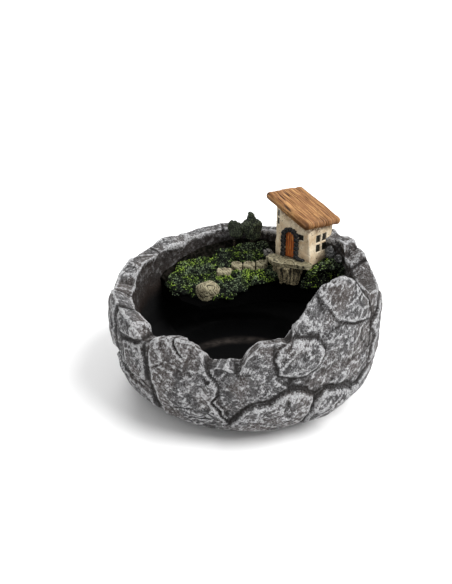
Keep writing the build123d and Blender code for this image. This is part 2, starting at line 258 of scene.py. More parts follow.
# %% Camera
view_down = np.radians(26.0)
view_distance = 680 * mm
aim = np.array([-15.3, 0.0, 80.75]) * mm
sensor_size = 36.0
frame_height, focal_length = 584, 843.7

camera_data = bpy.data.cameras.new("camera")
camera_data.lens = sensor_size * focal_length / frame_height
camera = bpy.data.objects.new("camera", camera_data)
camera.location = aim + view_distance * np.array([0, -np.cos(view_down), np.sin(view_down)])
camera.rotation_euler = (np.pi / 2 - view_down, 0, 0)
camera_data.clip_start = 0.01
bpy.context.scene.collection.objects.link(camera)
bpy.context.scene.camera = camera
bpy.context.scene.view_settings.view_transform = "Standard"
print("lens:", round(camera_data.lens, 2), "mm")

# %% [markdown]
# A wide sun is an even light without hot spots on the floor, and its width softens the shadow.
# Two square lights fill the dark side and outline the rim from behind.

# %% Floor and lights


def plain_material(name, colour, roughness):
    """Material of one even finish, for the stage only."""
    material = bpy.data.materials.new(name)
    material.use_nodes = True
    shader = material.node_tree.nodes["Principled BSDF"]
    shader.inputs["Base Color"].default_value = (*colour, 1)
    shader.inputs["Roughness"].default_value = roughness
    return material


def soft_light(name, kind, place, size, power):
    """Light that points at the bowl: a square area of a size, or a sun of an angular size."""
    data = bpy.data.lights.new(name, kind)
    if kind == "SUN":
        data.angle = size
    else:
        data.size = size
    data.energy = power
    light = bpy.data.objects.new(name, data)
    light.location = place
    direction = np.array(place) - np.array([0, 0, 0.07])
    yaw = np.arctan2(direction[0], -direction[1])
    tilt = np.arctan2(np.hypot(direction[0], direction[1]), direction[2])
    light.rotation_euler = (tilt, 0, yaw)
    bpy.context.scene.collection.objects.link(light)


half = 4.0
floor_points = np.array([[-half, -half, 0], [half, -half, 0], [half, half, 0], [-half, half, 0]])
floor = new_object("floor", floor_points, [[0, 1, 2, 3]])
floor.data.materials.append(plain_material("pale_floor", (0.93, 0.93, 0.93), 0.9))

soft_light("key_light", "SUN", (0.85, -0.42, 1.20), np.radians(36.0), 3.3)
soft_light("fill_light", "AREA", (-0.95, -0.65, 0.7), 0.9, 0.8)
soft_light("back_light", "AREA", (-0.3, 1.0, 1.0), 0.7, 9.0)

world = bpy.data.worlds.new("studio")
bpy.context.scene.world = world
world.use_nodes = True
world.node_tree.nodes["Background"].inputs["Color"].default_value = (1.0, 1.0, 1.0, 1)
world.node_tree.nodes["Background"].inputs["Strength"].default_value = 0.62

# %% [markdown]
# ## The rock wall
# A turned profile gives the bowl its belly, and the CAD rim gives the broken edge. On top of
# that come layers, as a sculptor works: big stones that bulge, deep open joints between them,
# faces struck off with a chisel, and a last skin of fine roughness.

# %% The broken rim, measured on the CAD bowl
columns = 512
theta = np.linspace(0, 2 * np.pi, columns, endpoint=False)
cavity_radius = 91.5 * mm
cavity_floor = 12.0 * mm


above_belly = 60 * mm
columns_ranked, rank_percent = 9, 72


def rim_height(low_radius, high_radius):
    """Highest place, at each angle, where an edge of the CAD bowl crosses an upright plane
    through the axis between two radii; ranking neighbouring columns drops stray crossings."""
    corners = node_triangles("rock_bowl")
    start = corners.reshape(-1, 3)
    end = np.roll(corners, -1, axis=1).reshape(-1, 3)
    high = (start[:, 2] > above_belly) & (end[:, 2] > above_belly)
    start, end = start[high], end[high]
    side = -start[:, 0, None] * np.sin(theta) + start[:, 1, None] * np.cos(theta)
    other = -end[:, 0, None] * np.sin(theta) + end[:, 1, None] * np.cos(theta)
    share = side / np.where(side == other, 1.0, side - other)
    place = [start[:, a, None] + share * (end - start)[:, a, None] for a in range(3)]
    reach = place[0] * np.cos(theta) + place[1] * np.sin(theta)
    good = (side * other <= 0) & (side != other) & (reach > low_radius) & (reach < high_radius)
    top = np.where(good, place[2], -1).max(axis=0)
    known = top > 0
    filled = np.interp(theta, theta[known], top[known], period=2 * np.pi)
    steps = range(-(columns_ranked // 2), columns_ranked // 2 + 1)
    return np.percentile([np.roll(filled, step) for step in steps], rank_percent, axis=0)


rim_out = rim_height(94.5 * mm, 112 * mm)
rim_in = rim_height(cavity_radius - 1.0 * mm, cavity_radius + 1.5 * mm)
print("rim heights:", rim_out.min().round(3), rim_out.max().round(3), rim_in.min().round(3))

# %% [markdown]
# The profile is what a potter would turn: pairs of height and radius from the foot upward, one
# list for the outside and one for the basin.

# %% Profile of the wall
wall_profile = np.array([[1, 78], [4, 83.5], [9, 89.5], [16, 95.5], [30, 102], [48, 106.2],
                         [68, 107.4], [86, 106.6], [105, 103.2], [125, 99.5], [150, 95.5]]) * mm
inner_profile = np.array([[12, 58], [15, 69], [22, 78], [32, 84], [48, 89], [68, 91.5], [150, 91.5]]) * mm


def wall_radius(height):
    """Outside radius of the wall at a height."""
    return np.interp(height, wall_profile[:, 0], wall_profile[:, 1])


def cavity_wall(height):
    """Inside radius of the wall at a height."""
    return np.interp(height, inner_profile[:, 0], inner_profile[:, 1])


# %% [markdown]
# The stones of the wall are drawn as outlines on the unrolled wall: an angle round the bowl
# (-90 is the front) and a height. A stone stands out by its rise, with a crisp broken edge.
# Cracks are lines with a depth and a width. A warp made of noise keeps all of them ragged.

# %% Outlines of the standing stones
standing_stones = (
    # rise, edge width, outline of (angle, height)
    (2.6, 1.8, ((-131, 12), (-130, 36), (-132, 62), (-131, 84), (-122, 100), (-104, 96), (-103, 68),
                (-101, 55), (-102, 43), (-99, 32), (-95, 14))),
    (2.8, 1.1, ((-79, 66), (-80, 79), (-78, 87), (-72, 94), (-63, 91), (-59, 80), (-61, 71), (-67, 62),
                (-74, 63))),
    (2.2, 1.4, ((-64, 130), (-55, 106), (-50, 96), (-42, 90), (-32, 86), (-30, 100), (-36, 112),
                (-42, 126), (-46, 145))),
    (3.0, 2.0, ((-156, 110), (-154, 72), (-142, 75), (-133, 82), (-128, 110))),
    (2.4, 1.4, ((-151, 68), (-142, 73), (-134, 78), (-133, 62), (-133, 46), (-142, 40), (-151, 43))),
    (5.2, 1.2, ((-97, 20), (-94, 32), (-90, 38), (-85, 41), (-81, 42), (-77, 49), (-73, 52), (-68, 50),
                (-63, 43), (-64, 30), (-68, 16), (-78, 4), (-92, 6))),
    (6.4, 1.2, ((-61, 41), (-58, 45), (-54, 44), (-47, 40), (-43, 34), (-45, 24), (-52, 12), (-66, 14),
                (-63, 30))),
    (4.2, 2.2, ((-40, 34), (-22, 42), (-10, 36), (-8, 18), (-22, 8), (-40, 12))),
    (3.0, 2.0, ((-24, 58), (-6, 66), (8, 58), (12, 40), (4, 26), (-14, 30), (-26, 42))),
    (3.0, 1.8, ((-20, 90), (-4, 86), (8, 66), (-6, 70), (-22, 62), (-28, 76))),
    (3.6, 2.0, ((14, 56), (34, 48), (50, 44), (46, 20), (24, 12), (10, 24))),
    (2.8, 1.8, ((14, 100), (18, 62), (34, 54), (52, 48), (58, 70), (54, 112), (30, 120))),
    (3.4, 2.0, ((62, 60), (82, 58), (98, 66), (96, 104), (64, 106))),
    (3.6, 2.0, ((56, 40), (82, 52), (84, 30), (78, 8), (58, 10))),
    (3.0, 2.0, ((88, 54), (102, 60), (120, 48), (118, 24), (122, 6), (92, 8), (88, 30))),
    (3.2, 1.8, ((104, 66), (122, 54), (138, 60), (138, 104), (106, 108))),
    (3.4, 2.0, ((126, 46), (142, 54), (158, 40), (182, 38), (180, 16), (150, 6), (128, 12))),
    (2.8, 1.8, ((144, 62), (160, 48), (174, 56), (178, 96), (146, 100))),
    (2.6, 1.8, ((178, 58), (188, 46), (200, 50), (201, 74), (203, 100), (182, 98))),
    (3.2, 2.0, ((188, 36), (206, 38), (226, 30), (222, 8), (194, 8))),
)
cracks = (
    # depth, width, line of (angle, height)
    (8.5, 3.2, ((-134, 92), (-134, 78), (-134, 58), (-134, 38), (-133, 20), (-138, 2))),
    (4.5, 2.2, ((-153, 67), (-142, 73), (-133, 80))),
    (5.0, 4.2, ((-157, 98), (-156, 86), (-154, 75), (-152, 62), (-151, 49), (-148, 38))),
    (4.2, 1.6, ((-106, 74), (-105, 68), (-101, 56), (-101, 49), (-104, 43), (-101, 33), (-97, 22))),
    (2.4, 1.3, ((-97, 76), (-93, 65))),
    (2.6, 1.4, ((-92, 67), (-89, 68))),
    (3.4, 1.6, ((-80, 90), (-80, 79), (-79, 66))),
    (2.6, 1.5, ((-78, 66), (-74, 63), (-67, 61))),
    (3.6, 2.6, ((-97, 23), (-92, 37), (-86, 44), (-81, 45), (-77, 52), (-72, 55), (-67, 53), (-62, 45),
                (-58, 48), (-53, 47), (-46, 43), (-40, 37))),
    (2.6, 1.4, ((-50, 97), (-42, 90), (-32, 86), (-24, 82))),
    (2.4, 1.4, ((-42, 126), (-37, 115), (-32, 106))),
    (2.6, 1.8, ((-153, 42), (-142, 40), (-132, 35))),
    (1.6, 1.3, ((-115, 22), (-106, 26))),
    (2.8, 1.6, ((-121, 96), (-119, 84), (-116, 78))),
    (3.0, 1.8, ((-66, 10), (-64, 28), (-62, 42))),
    (2.0, 1.4, ((-84, 26), (-78, 22), (-72, 26))),
    (3.0, 1.4, ((-57, 92), (-52, 94), (-48, 94), (-42, 89), (-36, 87))),
    (2.2, 1.3, ((-35, 80), (-36, 72), (-29, 60))),
    (3.0, 2.0, ((-30, 104), (-27, 88), (-28, 60), (-8, 68), (10, 58), (13, 40))),
    (3.0, 2.0, ((14, 104), (16, 60), (34, 50), (54, 44), (60, 64), (59, 104))),
    (3.0, 2.0, ((60, 60), (84, 55), (102, 63), (101, 104))),
    (3.0, 2.0, ((86, 54), (86, 30), (82, 4))),
    (3.0, 2.0, ((102, 63), (122, 50), (141, 58), (142, 98))),
    (3.0, 2.0, ((122, 50), (122, 26), (125, 4))),
    (3.0, 2.0, ((141, 58), (159, 43), (176, 54), (180, 96))),
    (3.0, 2.0, ((176, 54), (188, 41), (206, 44), (186, 34), (187, 6))),
)

# %% [markdown]
# A point inside an outline has crossed its edge an odd number of times, and its depth inside is
# the distance to the nearest run. The same distance tells how deep a crack is at a point.

# %% Distance to outlines and cracks
belly = 108 * mm


def unrolled(outline):
    """Points of (angle, height) as (distance along the wall, height) in metres."""
    points = np.array(outline, dtype=float)
    return np.stack([np.radians(points[:, 0]) * belly, points[:, 1] * mm], axis=-1)


def distance_to_line(across, up, line, closed=False):
    """Least distance to a chain of straight runs; negative inside it when it is closed."""
    nearest = np.full(across.shape, 1.0)
    inside_count = np.zeros(across.shape, dtype=bool)
    ends = np.roll(line, -1, axis=0) if closed else line[1:]
    for start, end in zip(line, ends):
        run = end - start
        share = np.clip(((across - start[0]) * run[0] + (up - start[1]) * run[1]) / (run @ run), 0, 1)
        gap = np.hypot(across - start[0] - share * run[0], up - start[1] - share * run[1])
        nearest = np.minimum(nearest, gap)
        if closed and run[1] != 0:
            crossing = start[0] + run[0] * (up - start[1]) / run[1]
            inside_count ^= ((up >= start[1]) != (up >= end[1])) & (across < crossing)
    return np.where(inside_count, -nearest, nearest)


# %% [markdown]
# Relief is added stone by stone: the highest stone wins, and every crack is then cut away.
# The same pass notes where the wash will settle: at the foot of each stone and in each crack.

# %% Relief of the wall


def ragged(points, seed):
    """Sideways shift that keeps drawn lines from looking drawn: broad noise plus fine noise."""
    return rough_noise(points, 12 * mm, seed) * 1.1 * mm + soft_noise(points, 3 * mm, seed + 1) * 0.35 * mm


def wall_relief(points):
    """Stones stand out inside their outlines, cracks cut V-shaped grooves: relief and darkness."""
    angle = np.arctan2(points[..., 1], points[..., 0])
    warp = ragged(points, 11)
    up = points[..., 2] + ragged(points, 21)
    relief = np.zeros(angle.shape)
    dark = np.zeros(angle.shape)
    for turn in (-2 * np.pi, 0):
        across = (angle % (2 * np.pi) + turn) * belly + warp
        for rise, edge_width, outline in standing_stones:
            inside_by = -distance_to_line(across, up, unrolled(outline), closed=True)
            step = smooth_step(inside_by, -0.6 * edge_width * mm, edge_width * mm)
            swell = 0.8 * step + 0.2 * smooth_step(inside_by, 0, 9 * mm)
            relief = np.maximum(relief, rise * mm * swell)
            foot = np.exp(-np.abs(inside_by + 0.5 * edge_width * mm) / (1.3 * mm))
            dark = np.maximum(dark, 0.45 * foot * (inside_by < 0))
        for depth, width, line in cracks:
            gap = distance_to_line(across, up, unrolled(line)) / (width * mm)
            relief = relief - depth * mm * np.clip(1 - gap, 0, 1) ** 1.3
            dark = np.maximum(dark, smooth_step(1 - gap, 0.0, 0.75))
    return relief, dark


# %% [markdown]
# The wall is one closed grid. Its rows run from the middle of the underside, up the outside,
# over the rim, down the inside and to the middle of the floor. The rim is a flat-topped arch
# between the outer and the inner edge, so the thick broken wall shows its own top.

# %% Build the bowl
outer_rows, rim_rows, inner_rows = 104, 18, 58
foot_height = 1.0 * mm
underside_rows = ((10, 2.5), (40, 2.5), (66.4, 2.5), (66.7, 1.0), (74, 1.0))
floor_rows = (50, 35, 18, 6)


def bowl_grid():
    """Rows of (radius, height) at every angle, from the underside round to the floor."""
    ones = np.ones(columns)
    rows = [(radius * mm * ones, height * mm * ones) for radius, height in underside_rows]
    for t in np.linspace(0, 1, outer_rows):
        height = foot_height + (rim_out - foot_height) * t
        rows.append((wall_radius(height), height))
    outer_edge = wall_radius(rim_out)
    for share in np.linspace(0, 1, rim_rows + 2)[1:-1]:
        height = rim_out + (rim_in - rim_out) * share + 0.8 * mm * np.sin(np.pi * share) ** 0.4
        rows.append((outer_edge + (cavity_radius - outer_edge) * share, height))
    for t in np.linspace(0, 1, inner_rows) ** 1.1:
        height = rim_in + (cavity_floor + 0.2 * mm - rim_in) * t
        rows.append((cavity_wall(height), height))
    rows += [(radius * mm * ones, cavity_floor * ones) for radius in floor_rows]
    radius = np.array([row[0] for row in rows])
    height = np.array([row[1] for row in rows])
    return np.stack([radius * np.cos(theta), radius * np.sin(theta), height], axis=-1)


# %% [markdown]
# Masks tell where a point lies: on the rim's top, on its two edges, or how deep in the basin.
# The carving and the paint both need them, because a rim is worn and a basin stays dark.

# %% Masks for the rim and the basin
base = bowl_grid()
outward = surface_normals(base)
row_number = np.arange(base.shape[0])[:, None] * np.ones(columns)
first_rim = len(underside_rows) + outer_rows
inside = smooth_step(row_number, first_rim + rim_rows - 3, first_rim + rim_rows + 5)
on_rim = smooth_step(row_number, first_rim - 9, first_rim) * (1 - inside)
rim_edge = np.exp(-((row_number - first_rim + 0.5) / 1.6) ** 2)
rim_edge += 0.8 * np.exp(-((row_number - first_rim - rim_rows + 0.5) / 1.6) ** 2)
below_rim = np.clip(rim_in - base[..., 2], 0, 1) * inside
in_depth = smooth_step(below_rim, 6 * mm, 62 * mm) * inside
print("wall grid:", base.shape)

# %% [markdown]
# The relief is built as a sculptor works, from coarse to fine: big stones, tilted facets, struck
# scoops, a broad swell and a fine skin. It fades on the rim, in the basin and near the foot, so
# that the bowl still stands flat.

# %% Carve the bowl
relief, joint_dark = wall_relief(base)
bend = rough_noise(base, 16 * mm, 5)[..., None] * 3 * mm
facet_near, facet_next, facet_owner = chips(base + bend, 30 * mm, 31)
facet_tilt = (facet_owner - 0.5) * 1.6 * mm * smooth_step(facet_next - facet_near, 0.0, 0.10)
struck_near, _, _ = chips(base + soft_noise(base, 8 * mm, 6)[..., None] * 1.5 * mm, 9.5 * mm, 41)
dent_near, _, _ = chips(base, 3.6 * mm, 51)
struck_level = 0.6 * mm
struck = (1.1 * struck_near**2 + 0.50 * dent_near**2 * (1 - 0.7 * on_rim)) * mm
swell = rough_noise(base, 30 * mm, 91) * 0.8 * mm
fine = rough_noise(base, 5 * mm, 61) * 0.30 * mm + soft_noise(base, 1.6 * mm, 71) * 0.14 * mm

foot_fade = smooth_step(base[..., 2], -2 * mm, 34 * mm)
height_field = (relief * foot_fade - 0.6 * mm) * (1 - inside) * (1 - 0.8 * on_rim) + facet_tilt
height_field += swell * (1 - 0.6 * on_rim)
height_field += ((struck - struck_level) * (1 - 0.6 * on_rim) + fine) * (1 - 0.75 * in_depth)
height_field *= 1 - 0.5 * in_depth
height_field *= np.where(inside > 0.5, 1.0, smooth_step(base[..., 2], 1.2 * mm, 9 * mm))
height_field[:len(underside_rows)] = 0
height_field[-len(floor_rows):] *= 0.3
bowl_shape = base + outward * height_field[..., None]
bowl_shape[..., 2] = np.maximum(bowl_shape[..., 2], foot_height)

# %% [markdown]
# Where the surface stands out of its surroundings the paint is worn or brushed, so each point
# keeps that value. The two edges of the rim are the most worn of all.

# %% Wear on the edges, and the finished mesh
edge = ridge_and_dip(bowl_shape, surface_normals(bowl_shape), 0.35 * mm)
worn_rim = rim_edge * smooth_step(soft_noise(bowl_shape, 3.5 * mm, 81), -0.9, 0.5)
edge = np.clip(edge + 1.1 * worn_rim, -1, 1)
rock_bowl = grid_piece("rock_wall", bowl_shape, {
    "edge": edge, "joint": joint_dark * (1 - inside), "depth": in_depth,
    "within": smooth_step(below_rim, 0.0, 5 * mm) * inside,
})
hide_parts("rock_bowl")
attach(rock_bowl, "root")
print("rock wall:", len(rock_bowl.data.polygons), "faces")

# %% [markdown]
# ## Materials
# A painter finishes such a casting in three passes: a base coat, a dark wash that runs into the
# joints, and a nearly dry brush of pale grey that catches only the raised grain. The group
# below makes the grain once: a height for the bump, the flecks that a dry brush would touch
# and the pits that the wash would fill. Each material gives it its own grain size.

# %% Node helpers


class Nodes:
    """Short way to add and link the nodes of one tree."""

    def __init__(self, tree):
        self.tree = tree

    def add(self, kind, settings=None, **inputs):
        """Add a node, set its properties and fill or link its inputs by name."""
        node = self.tree.nodes.new(kind)
        for key, value in (settings or {}).items():
            setattr(node, key, value)
        for key, value in inputs.items():
            self.fill(node.inputs[key.replace("_", " ")], value)
        return node

    def fill(self, socket, value):
        """Link a socket if the value is one, else set it as the default."""
        if isinstance(value, bpy.types.NodeSocket):
            self.tree.links.new(value, socket)
        elif isinstance(value, tuple) and len(value) == 3 and socket.type == "RGBA":
            socket.default_value = (*value, 1)
        else:
            socket.default_value = value

    def maths(self, operation, first, second=None, third=None, clamp=False):
        """One Math node; gives its result socket."""
        node = self.tree.nodes.new("ShaderNodeMath")
        node.operation = operation
        node.use_clamp = clamp
        for socket, value in zip(node.inputs, (first, second, third)):
            if value is not None:
                self.fill(socket, value)
        return node.outputs[0]

    def times(self, first, second):
        """Product of two values."""
        return self.maths("MULTIPLY", first, second)

    def blend(self, amount, first, second):
        """Mix two colours by an amount; gives the colour socket."""
        node = self.tree.nodes.new("ShaderNodeMix")
        node.data_type = "RGBA"
        node.clamp_factor = True
        self.fill(node.inputs[0], amount)
        self.fill(node.inputs[6], first)
        self.fill(node.inputs[7], second)
        return node.outputs[2]

    def paint(self, under, mask, strength, colour):
        """Lay a colour over what is under it, as thick as a mask times a strength."""
        return self.blend(self.times(mask, strength), under, colour)

    def ramp(self, value, low, high):
        """Map a value from low..high to 0..1, held at the ends."""
        node = self.tree.nodes.new("ShaderNodeMapRange")
        node.interpolation_type = "SMOOTHSTEP"
        self.fill(node.inputs["Value"], value)
        node.inputs["From Min"].default_value = low
        node.inputs["From Max"].default_value = high
        return node.outputs["Result"]

    def read(self, name):
        """Number stored on the mesh points."""
        return self.add("ShaderNodeAttribute", {"attribute_name": name}).outputs["Fac"]

    def place(self):
        """Object coordinates in metres."""
        return self.add("ShaderNodeTexCoord").outputs["Object"]

    def noise(self, vector, scale, detail=4.0, roughness=0.6, distortion=0.0):
        """Noise value of a given grain per metre."""
        node = self.add("ShaderNodeTexNoise", Vector=vector, Scale=scale, Detail=detail,
                        Roughness=roughness, Distortion=distortion)
        return node.outputs["Fac"]

    def spots(self, vector, scale, low, high, detail=4.0, roughness=0.6):
        """Soft-edged spots: noise of a grain, taken from 0 to 1 between two levels."""
        return self.ramp(self.noise(vector, scale, detail, roughness), low, high)

    def axes(self, vector):
        """The X, Y and Z values of a vector."""
        return self.add("ShaderNodeSeparateXYZ", Vector=vector).outputs


# %% [markdown]
# Three more short cuts: an empty group, a new material, and a group put into a material.

# %% Groups and materials


def group_tree(name, inputs, outputs):
    """New shader node group with named number, colour or vector sockets."""
    tree = bpy.data.node_groups.new(name, "ShaderNodeTree")
    for direction, sockets in (("INPUT", inputs), ("OUTPUT", outputs)):
        for label, kind in sockets:
            tree.interface.new_socket(label, in_out=direction, socket_type=f"NodeSocket{kind}")
    enter = tree.nodes.new("NodeGroupInput")
    leave = tree.nodes.new("NodeGroupOutput")
    return tree, Nodes(tree), enter.outputs, leave.inputs


def new_material(name):
    """Material with its Principled shader; gives the node helper and the shader."""
    material = bpy.data.materials.new(name)
    material.use_nodes = True
    shader = material.node_tree.nodes["Principled BSDF"]
    return material, Nodes(material.node_tree), shader


def add_group(nodes, tree, **inputs):
    """Place a node group in a material with its own values; gives its outputs."""
    node = nodes.tree.nodes.new("ShaderNodeGroup")
    node.node_tree = tree
    for key, value in inputs.items():
        nodes.fill(node.inputs[key.replace("_", " ")], value)
    return node.outputs


def bump(nodes, shader, height, strength, distance):
    """Feed a height into the shader's normal."""
    node = nodes.add("ShaderNodeBump", Height=height)
    node.inputs["Strength"].default_value = strength
    node.inputs["Distance"].default_value = distance
    nodes.tree.links.new(node.outputs["Normal"], shader.inputs["Normal"])


# %% [markdown]
# All stone on the piece shares one grain: a web of fine ridges, coarse noise, crumbs and pits.
# It is a group with named sockets, so that each stone can ask for its own size of grain.

# %% Group: chipped stone grain
stone_grain, g, enter, leave = group_tree(
    "stone_grain",
    [("Vector", "Vector"), ("Grain", "Float")],
    [("Height", "Float"), ("Flecks", "Float"), ("Pits", "Float"), ("Ridges", "Float")],
)
bend_noise = g.add("ShaderNodeTexNoise", Vector=enter["Vector"], Scale=500.0, Detail=3.0).outputs["Color"]
bend_step = g.add("ShaderNodeVectorMath", {"operation": "SCALE"}, Vector=bend_noise)
bend_step.inputs["Scale"].default_value = 3.0 * mm
bent = g.add("ShaderNodeVectorMath", {"operation": "ADD"})
g.fill(bent.inputs[0], enter["Vector"])
g.fill(bent.inputs[1], bend_step.outputs["Vector"])
bent_place = bent.outputs["Vector"]
web_scale = g.times(enter["Grain"], 0.42)
web = g.add("ShaderNodeTexVoronoi", {"feature": "DISTANCE_TO_EDGE"}, Vector=bent_place, Scale=web_scale)
ridges = g.ramp(web.outputs["Distance"], 0.17, 0.02)
coarse = g.noise(enter["Vector"], enter["Grain"], 6.0, 0.68, 0.6)
worm_scale = g.times(enter["Grain"], 0.9)
worms = g.add("ShaderNodeTexVoronoi", {"feature": "SMOOTH_F1"}, Vector=enter["Vector"], Scale=worm_scale)
pit_scale = g.times(enter["Grain"], 0.55)
pits = g.add("ShaderNodeTexVoronoi", {"feature": "F1"}, Vector=enter["Vector"], Scale=pit_scale)
hollow = g.ramp(pits.outputs["Distance"], 0.30, 0.10)
crumb = g.ramp(worms.outputs["Distance"], 0.75, 0.15)
height = g.maths("MULTIPLY_ADD", crumb, 0.35, coarse)
height = g.maths("MULTIPLY_ADD", hollow, -0.45, height)
height = g.maths("MULTIPLY_ADD", ridges, 0.30, height)
g.fill(leave["Ridges"], ridges)
g.fill(leave["Height"], height)
g.fill(leave["Flecks"], g.ramp(height, 0.74, 1.05))
g.fill(leave["Pits"], g.maths("MAXIMUM", g.times(hollow, 0.8), g.ramp(height, 0.52, 0.30)))

# %% [markdown]
# The wall's finish goes on in the painter's order: a mottled base coat, warm patches, wash in
# the pits, the dry brush on ridges and edges, wash again in the joints, and black in the basin.

# %% Dry-brushed rock with a black inside
rock_material, n, shader = new_material("dry_brushed_rock")
place = n.place()
grain = add_group(n, stone_grain, Vector=place, Grain=950.0)
patches = n.spots(place, 38.0, 0.42, 0.62, 3.0, 0.5)
tone = n.spots(place, 95.0, 0.30, 0.72, 3.0)
body = n.blend(tone, (0.042, 0.041, 0.042), (0.120, 0.117, 0.119))
body = n.paint(body, patches, 0.50, (0.100, 0.078, 0.068))
body = n.paint(body, grain["Pits"], 0.95, (0.012, 0.011, 0.010))
touch = n.maths("MULTIPLY_ADD", grain["Ridges"], 0.48, n.times(grain["Flecks"], 0.28))
touch = n.times(touch, n.spots(place, 150.0, 0.36, 0.62, 4.0, 0.75))
touch = n.times(touch, n.maths("MULTIPLY_ADD", n.spots(place, 24.0, 0.40, 0.60), 0.6, 0.5))
touch = n.maths("MULTIPLY_ADD", n.ramp(n.read("edge"), 0.06, 0.55), 0.85, touch)
bristles = n.spots(place, 600.0, 0.30, 0.60, 3.0, 0.7)
body = n.blend(n.maths("MULTIPLY", touch, bristles, clamp=True), body, (0.60, 0.60, 0.61))
dips = n.ramp(n.read("edge"), -0.15, -0.85)
dark = n.maths("MAXIMUM", n.read("joint"), n.times(dips, 0.85))
body = n.paint(body, dark, 0.92, (0.008, 0.006, 0.005))

# %% [markdown]
# Inside, brown wash darkens to black with depth. On the floor lies one painted reflection, a pale band that
# stands for light mirrored by the glossy black floor: a band along an arc that fades at its ends, up the
# wall and in patches.

# %% The black basin and its painted reflection
black = n.read("depth")
warm = n.paint(body, n.read("within"), 0.76, (0.018, 0.012, 0.009))
warm = n.blend(n.ramp(black, 0.02, 0.40), warm, (0.016, 0.009, 0.006))
body = n.blend(n.ramp(black, 0.26, 0.62), warm, (0.0016, 0.0016, 0.0018))
# Painted reflection: the pale band is light mirrored on the glossy black floor, painted into the floor's
# colour.
reflection_bend, reflection_centre = -9.0, (-4 * mm, 44 * mm)
reflection_width, reflection_reach = (9 * mm, 1 * mm), (44 * mm, 20 * mm)
reflection_top = (16 * mm, 13.5 * mm)
axes = n.axes(place)
arc = n.maths("MULTIPLY_ADD", n.times(axes["X"], axes["X"]), reflection_bend, reflection_centre[1])
from_arc = n.maths("ABSOLUTE", n.maths("SUBTRACT", axes["Y"], arc))
from_centre = n.maths("ABSOLUTE", n.maths("ADD", axes["X"], -reflection_centre[0]))
painted_reflection = n.ramp(from_arc, *reflection_width)
painted_reflection = n.times(painted_reflection, n.ramp(from_centre, *reflection_reach))
painted_reflection = n.times(painted_reflection, n.ramp(axes["Z"], *reflection_top))
painted_reflection = n.times(painted_reflection, n.spots(place, 130.0, 0.25, 0.75, 4.0, 0.7))
body = n.blend(painted_reflection, body, (0.060, 0.050, 0.044))
n.fill(shader.inputs["Base Color"], body)
n.fill(shader.inputs["Roughness"], n.maths("MULTIPLY_ADD", n.ramp(black, 0.45, 0.9), -0.25, 0.78))
shader.inputs["Specular IOR Level"].default_value = 0.22
shallow = n.maths("SUBTRACT", 1.0, n.times(n.ramp(black, 0.3, 0.9), 0.93))
bump(n, shader, n.times(grain["Height"], shallow), 1.0, 1.5 * mm)
rock_bowl.data.materials.append(rock_material)

# %% [markdown]
# ## Small stones
# A convex CAD solid is told by its flat faces alone. In every direction the surface lies where
# the nearest face plane is met. Adding the planes up with a high power, in place of taking the
# nearest one, gives the same body with rounded edges, and noise then makes it stone.

# %% Rounded copy of a convex CAD solid


def hull_planes(node, slack=0.05 * mm):
    """Unit normals and distances of the flat faces that no point stands further outside of than
    the slack."""
    corners = node_triangles(node)
    normal = face_cross(corners)
    area = np.linalg.norm(normal, axis=1)
    big = area > 1e-9
    normal = normal[big] / area[big, None]
    distance = np.sum(normal * corners[big, 0], axis=1)
    outermost = (node_points(node) @ normal.T).max(axis=0)
    keep = outermost - distance < slack
    planes = np.unique(np.round(np.column_stack([normal[keep], distance[keep] / mm]), 2), axis=0)
    return planes[:, :3], planes[:, 3] * mm


def soft_body(node, sharpness, rows=44, around=90, grow=0.0, slack=0.05 * mm):
    """Grid round a node: reach in a direction is one over the summed powers of (direction along
    the normal / distance of the plane), each to the sharpness."""
    normals, distances = hull_planes(node, slack)
    low, high = node_box(node)
    centre, half_size = (low + high) / 2, (high - low) / 2
    way = unit_ball(rows, around) * half_size
    pull = np.maximum(way @ normals.T, 0) / (distances - normals @ centre + grow)
    reach = (pull**sharpness).sum(axis=-1) ** (-1 / sharpness)
    return centre + way * reach[..., None]


def finish_piece(piece, material, node):
    """Give a piece its material, hide its CAD node and hang the piece on the root body."""
    piece.data.materials.append(material)
    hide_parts(node)
    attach(piece, "root")
    print(piece.name, len(piece.data.polygons), "faces")


def carve(grid, height, reach=0.10 * mm):
    """Move every point along its normal by a height; gives the shape and its edge values."""
    shape = grid + surface_normals(grid) * height[..., None]
    return shape, ridge_and_dip(shape, surface_normals(shape), reach)


# %% [markdown]
# One function makes every small stone. Cast stones show layers, so cracks follow a grain
# direction: the noise that makes them is squeezed along it.

# %% One stone from one CAD node


def stone_piece(name, node, material, sharpness=9, grow=0.3 * mm, grain=(0, 0, 1),
                rough=1.0, deeper=1.0, lift=0.0):
    """Stone from a CAD node: soft body lifted and stretched down from its top, then swells, chipped
    facets and grain lines across a direction."""
    layer_squeeze = 2.4
    grid = soft_body(node, sharpness, grow=grow)
    grid[..., 2] = grid[..., 2].max() + lift - deeper * (grid[..., 2].max() - grid[..., 2])
    number = sum(map(ord, node))
    swell = rough_noise(grid, 7 * mm, number) * 0.55 * mm
    near, second, _ = chips(grid, 4.2 * mm, number + 1)
    layered = grid + (grid @ np.array(grain))[..., None] * np.array(grain) * layer_squeeze
    split = soft_noise(layered, 4.6 * mm, number + 2)
    crack = smooth_step(0.24 - np.abs(split), 0, 0.20)
    height = swell + near**2 * 0.7 * mm + split * 0.26 * mm - crack * 0.45 * mm
    height += rough_noise(grid, 1.2 * mm, number + 3) * 0.10 * mm
    shape, edge_value = carve(grid, (height - 0.3 * mm) * rough)
    piece = grid_piece(name, shape, {"edge": np.clip(edge_value - 0.55 * crack * rough, -1, 1)})
    finish_piece(piece, material, node)
    return piece


# %% [markdown]
# Painted stone differs only in its colours: a base, a dark wash in the pits and a dry brush on
# the raised grain. One function makes them all, and the edge value on the points tells the
# brush where the stone sticks out.

# %% Painted stone in several colours


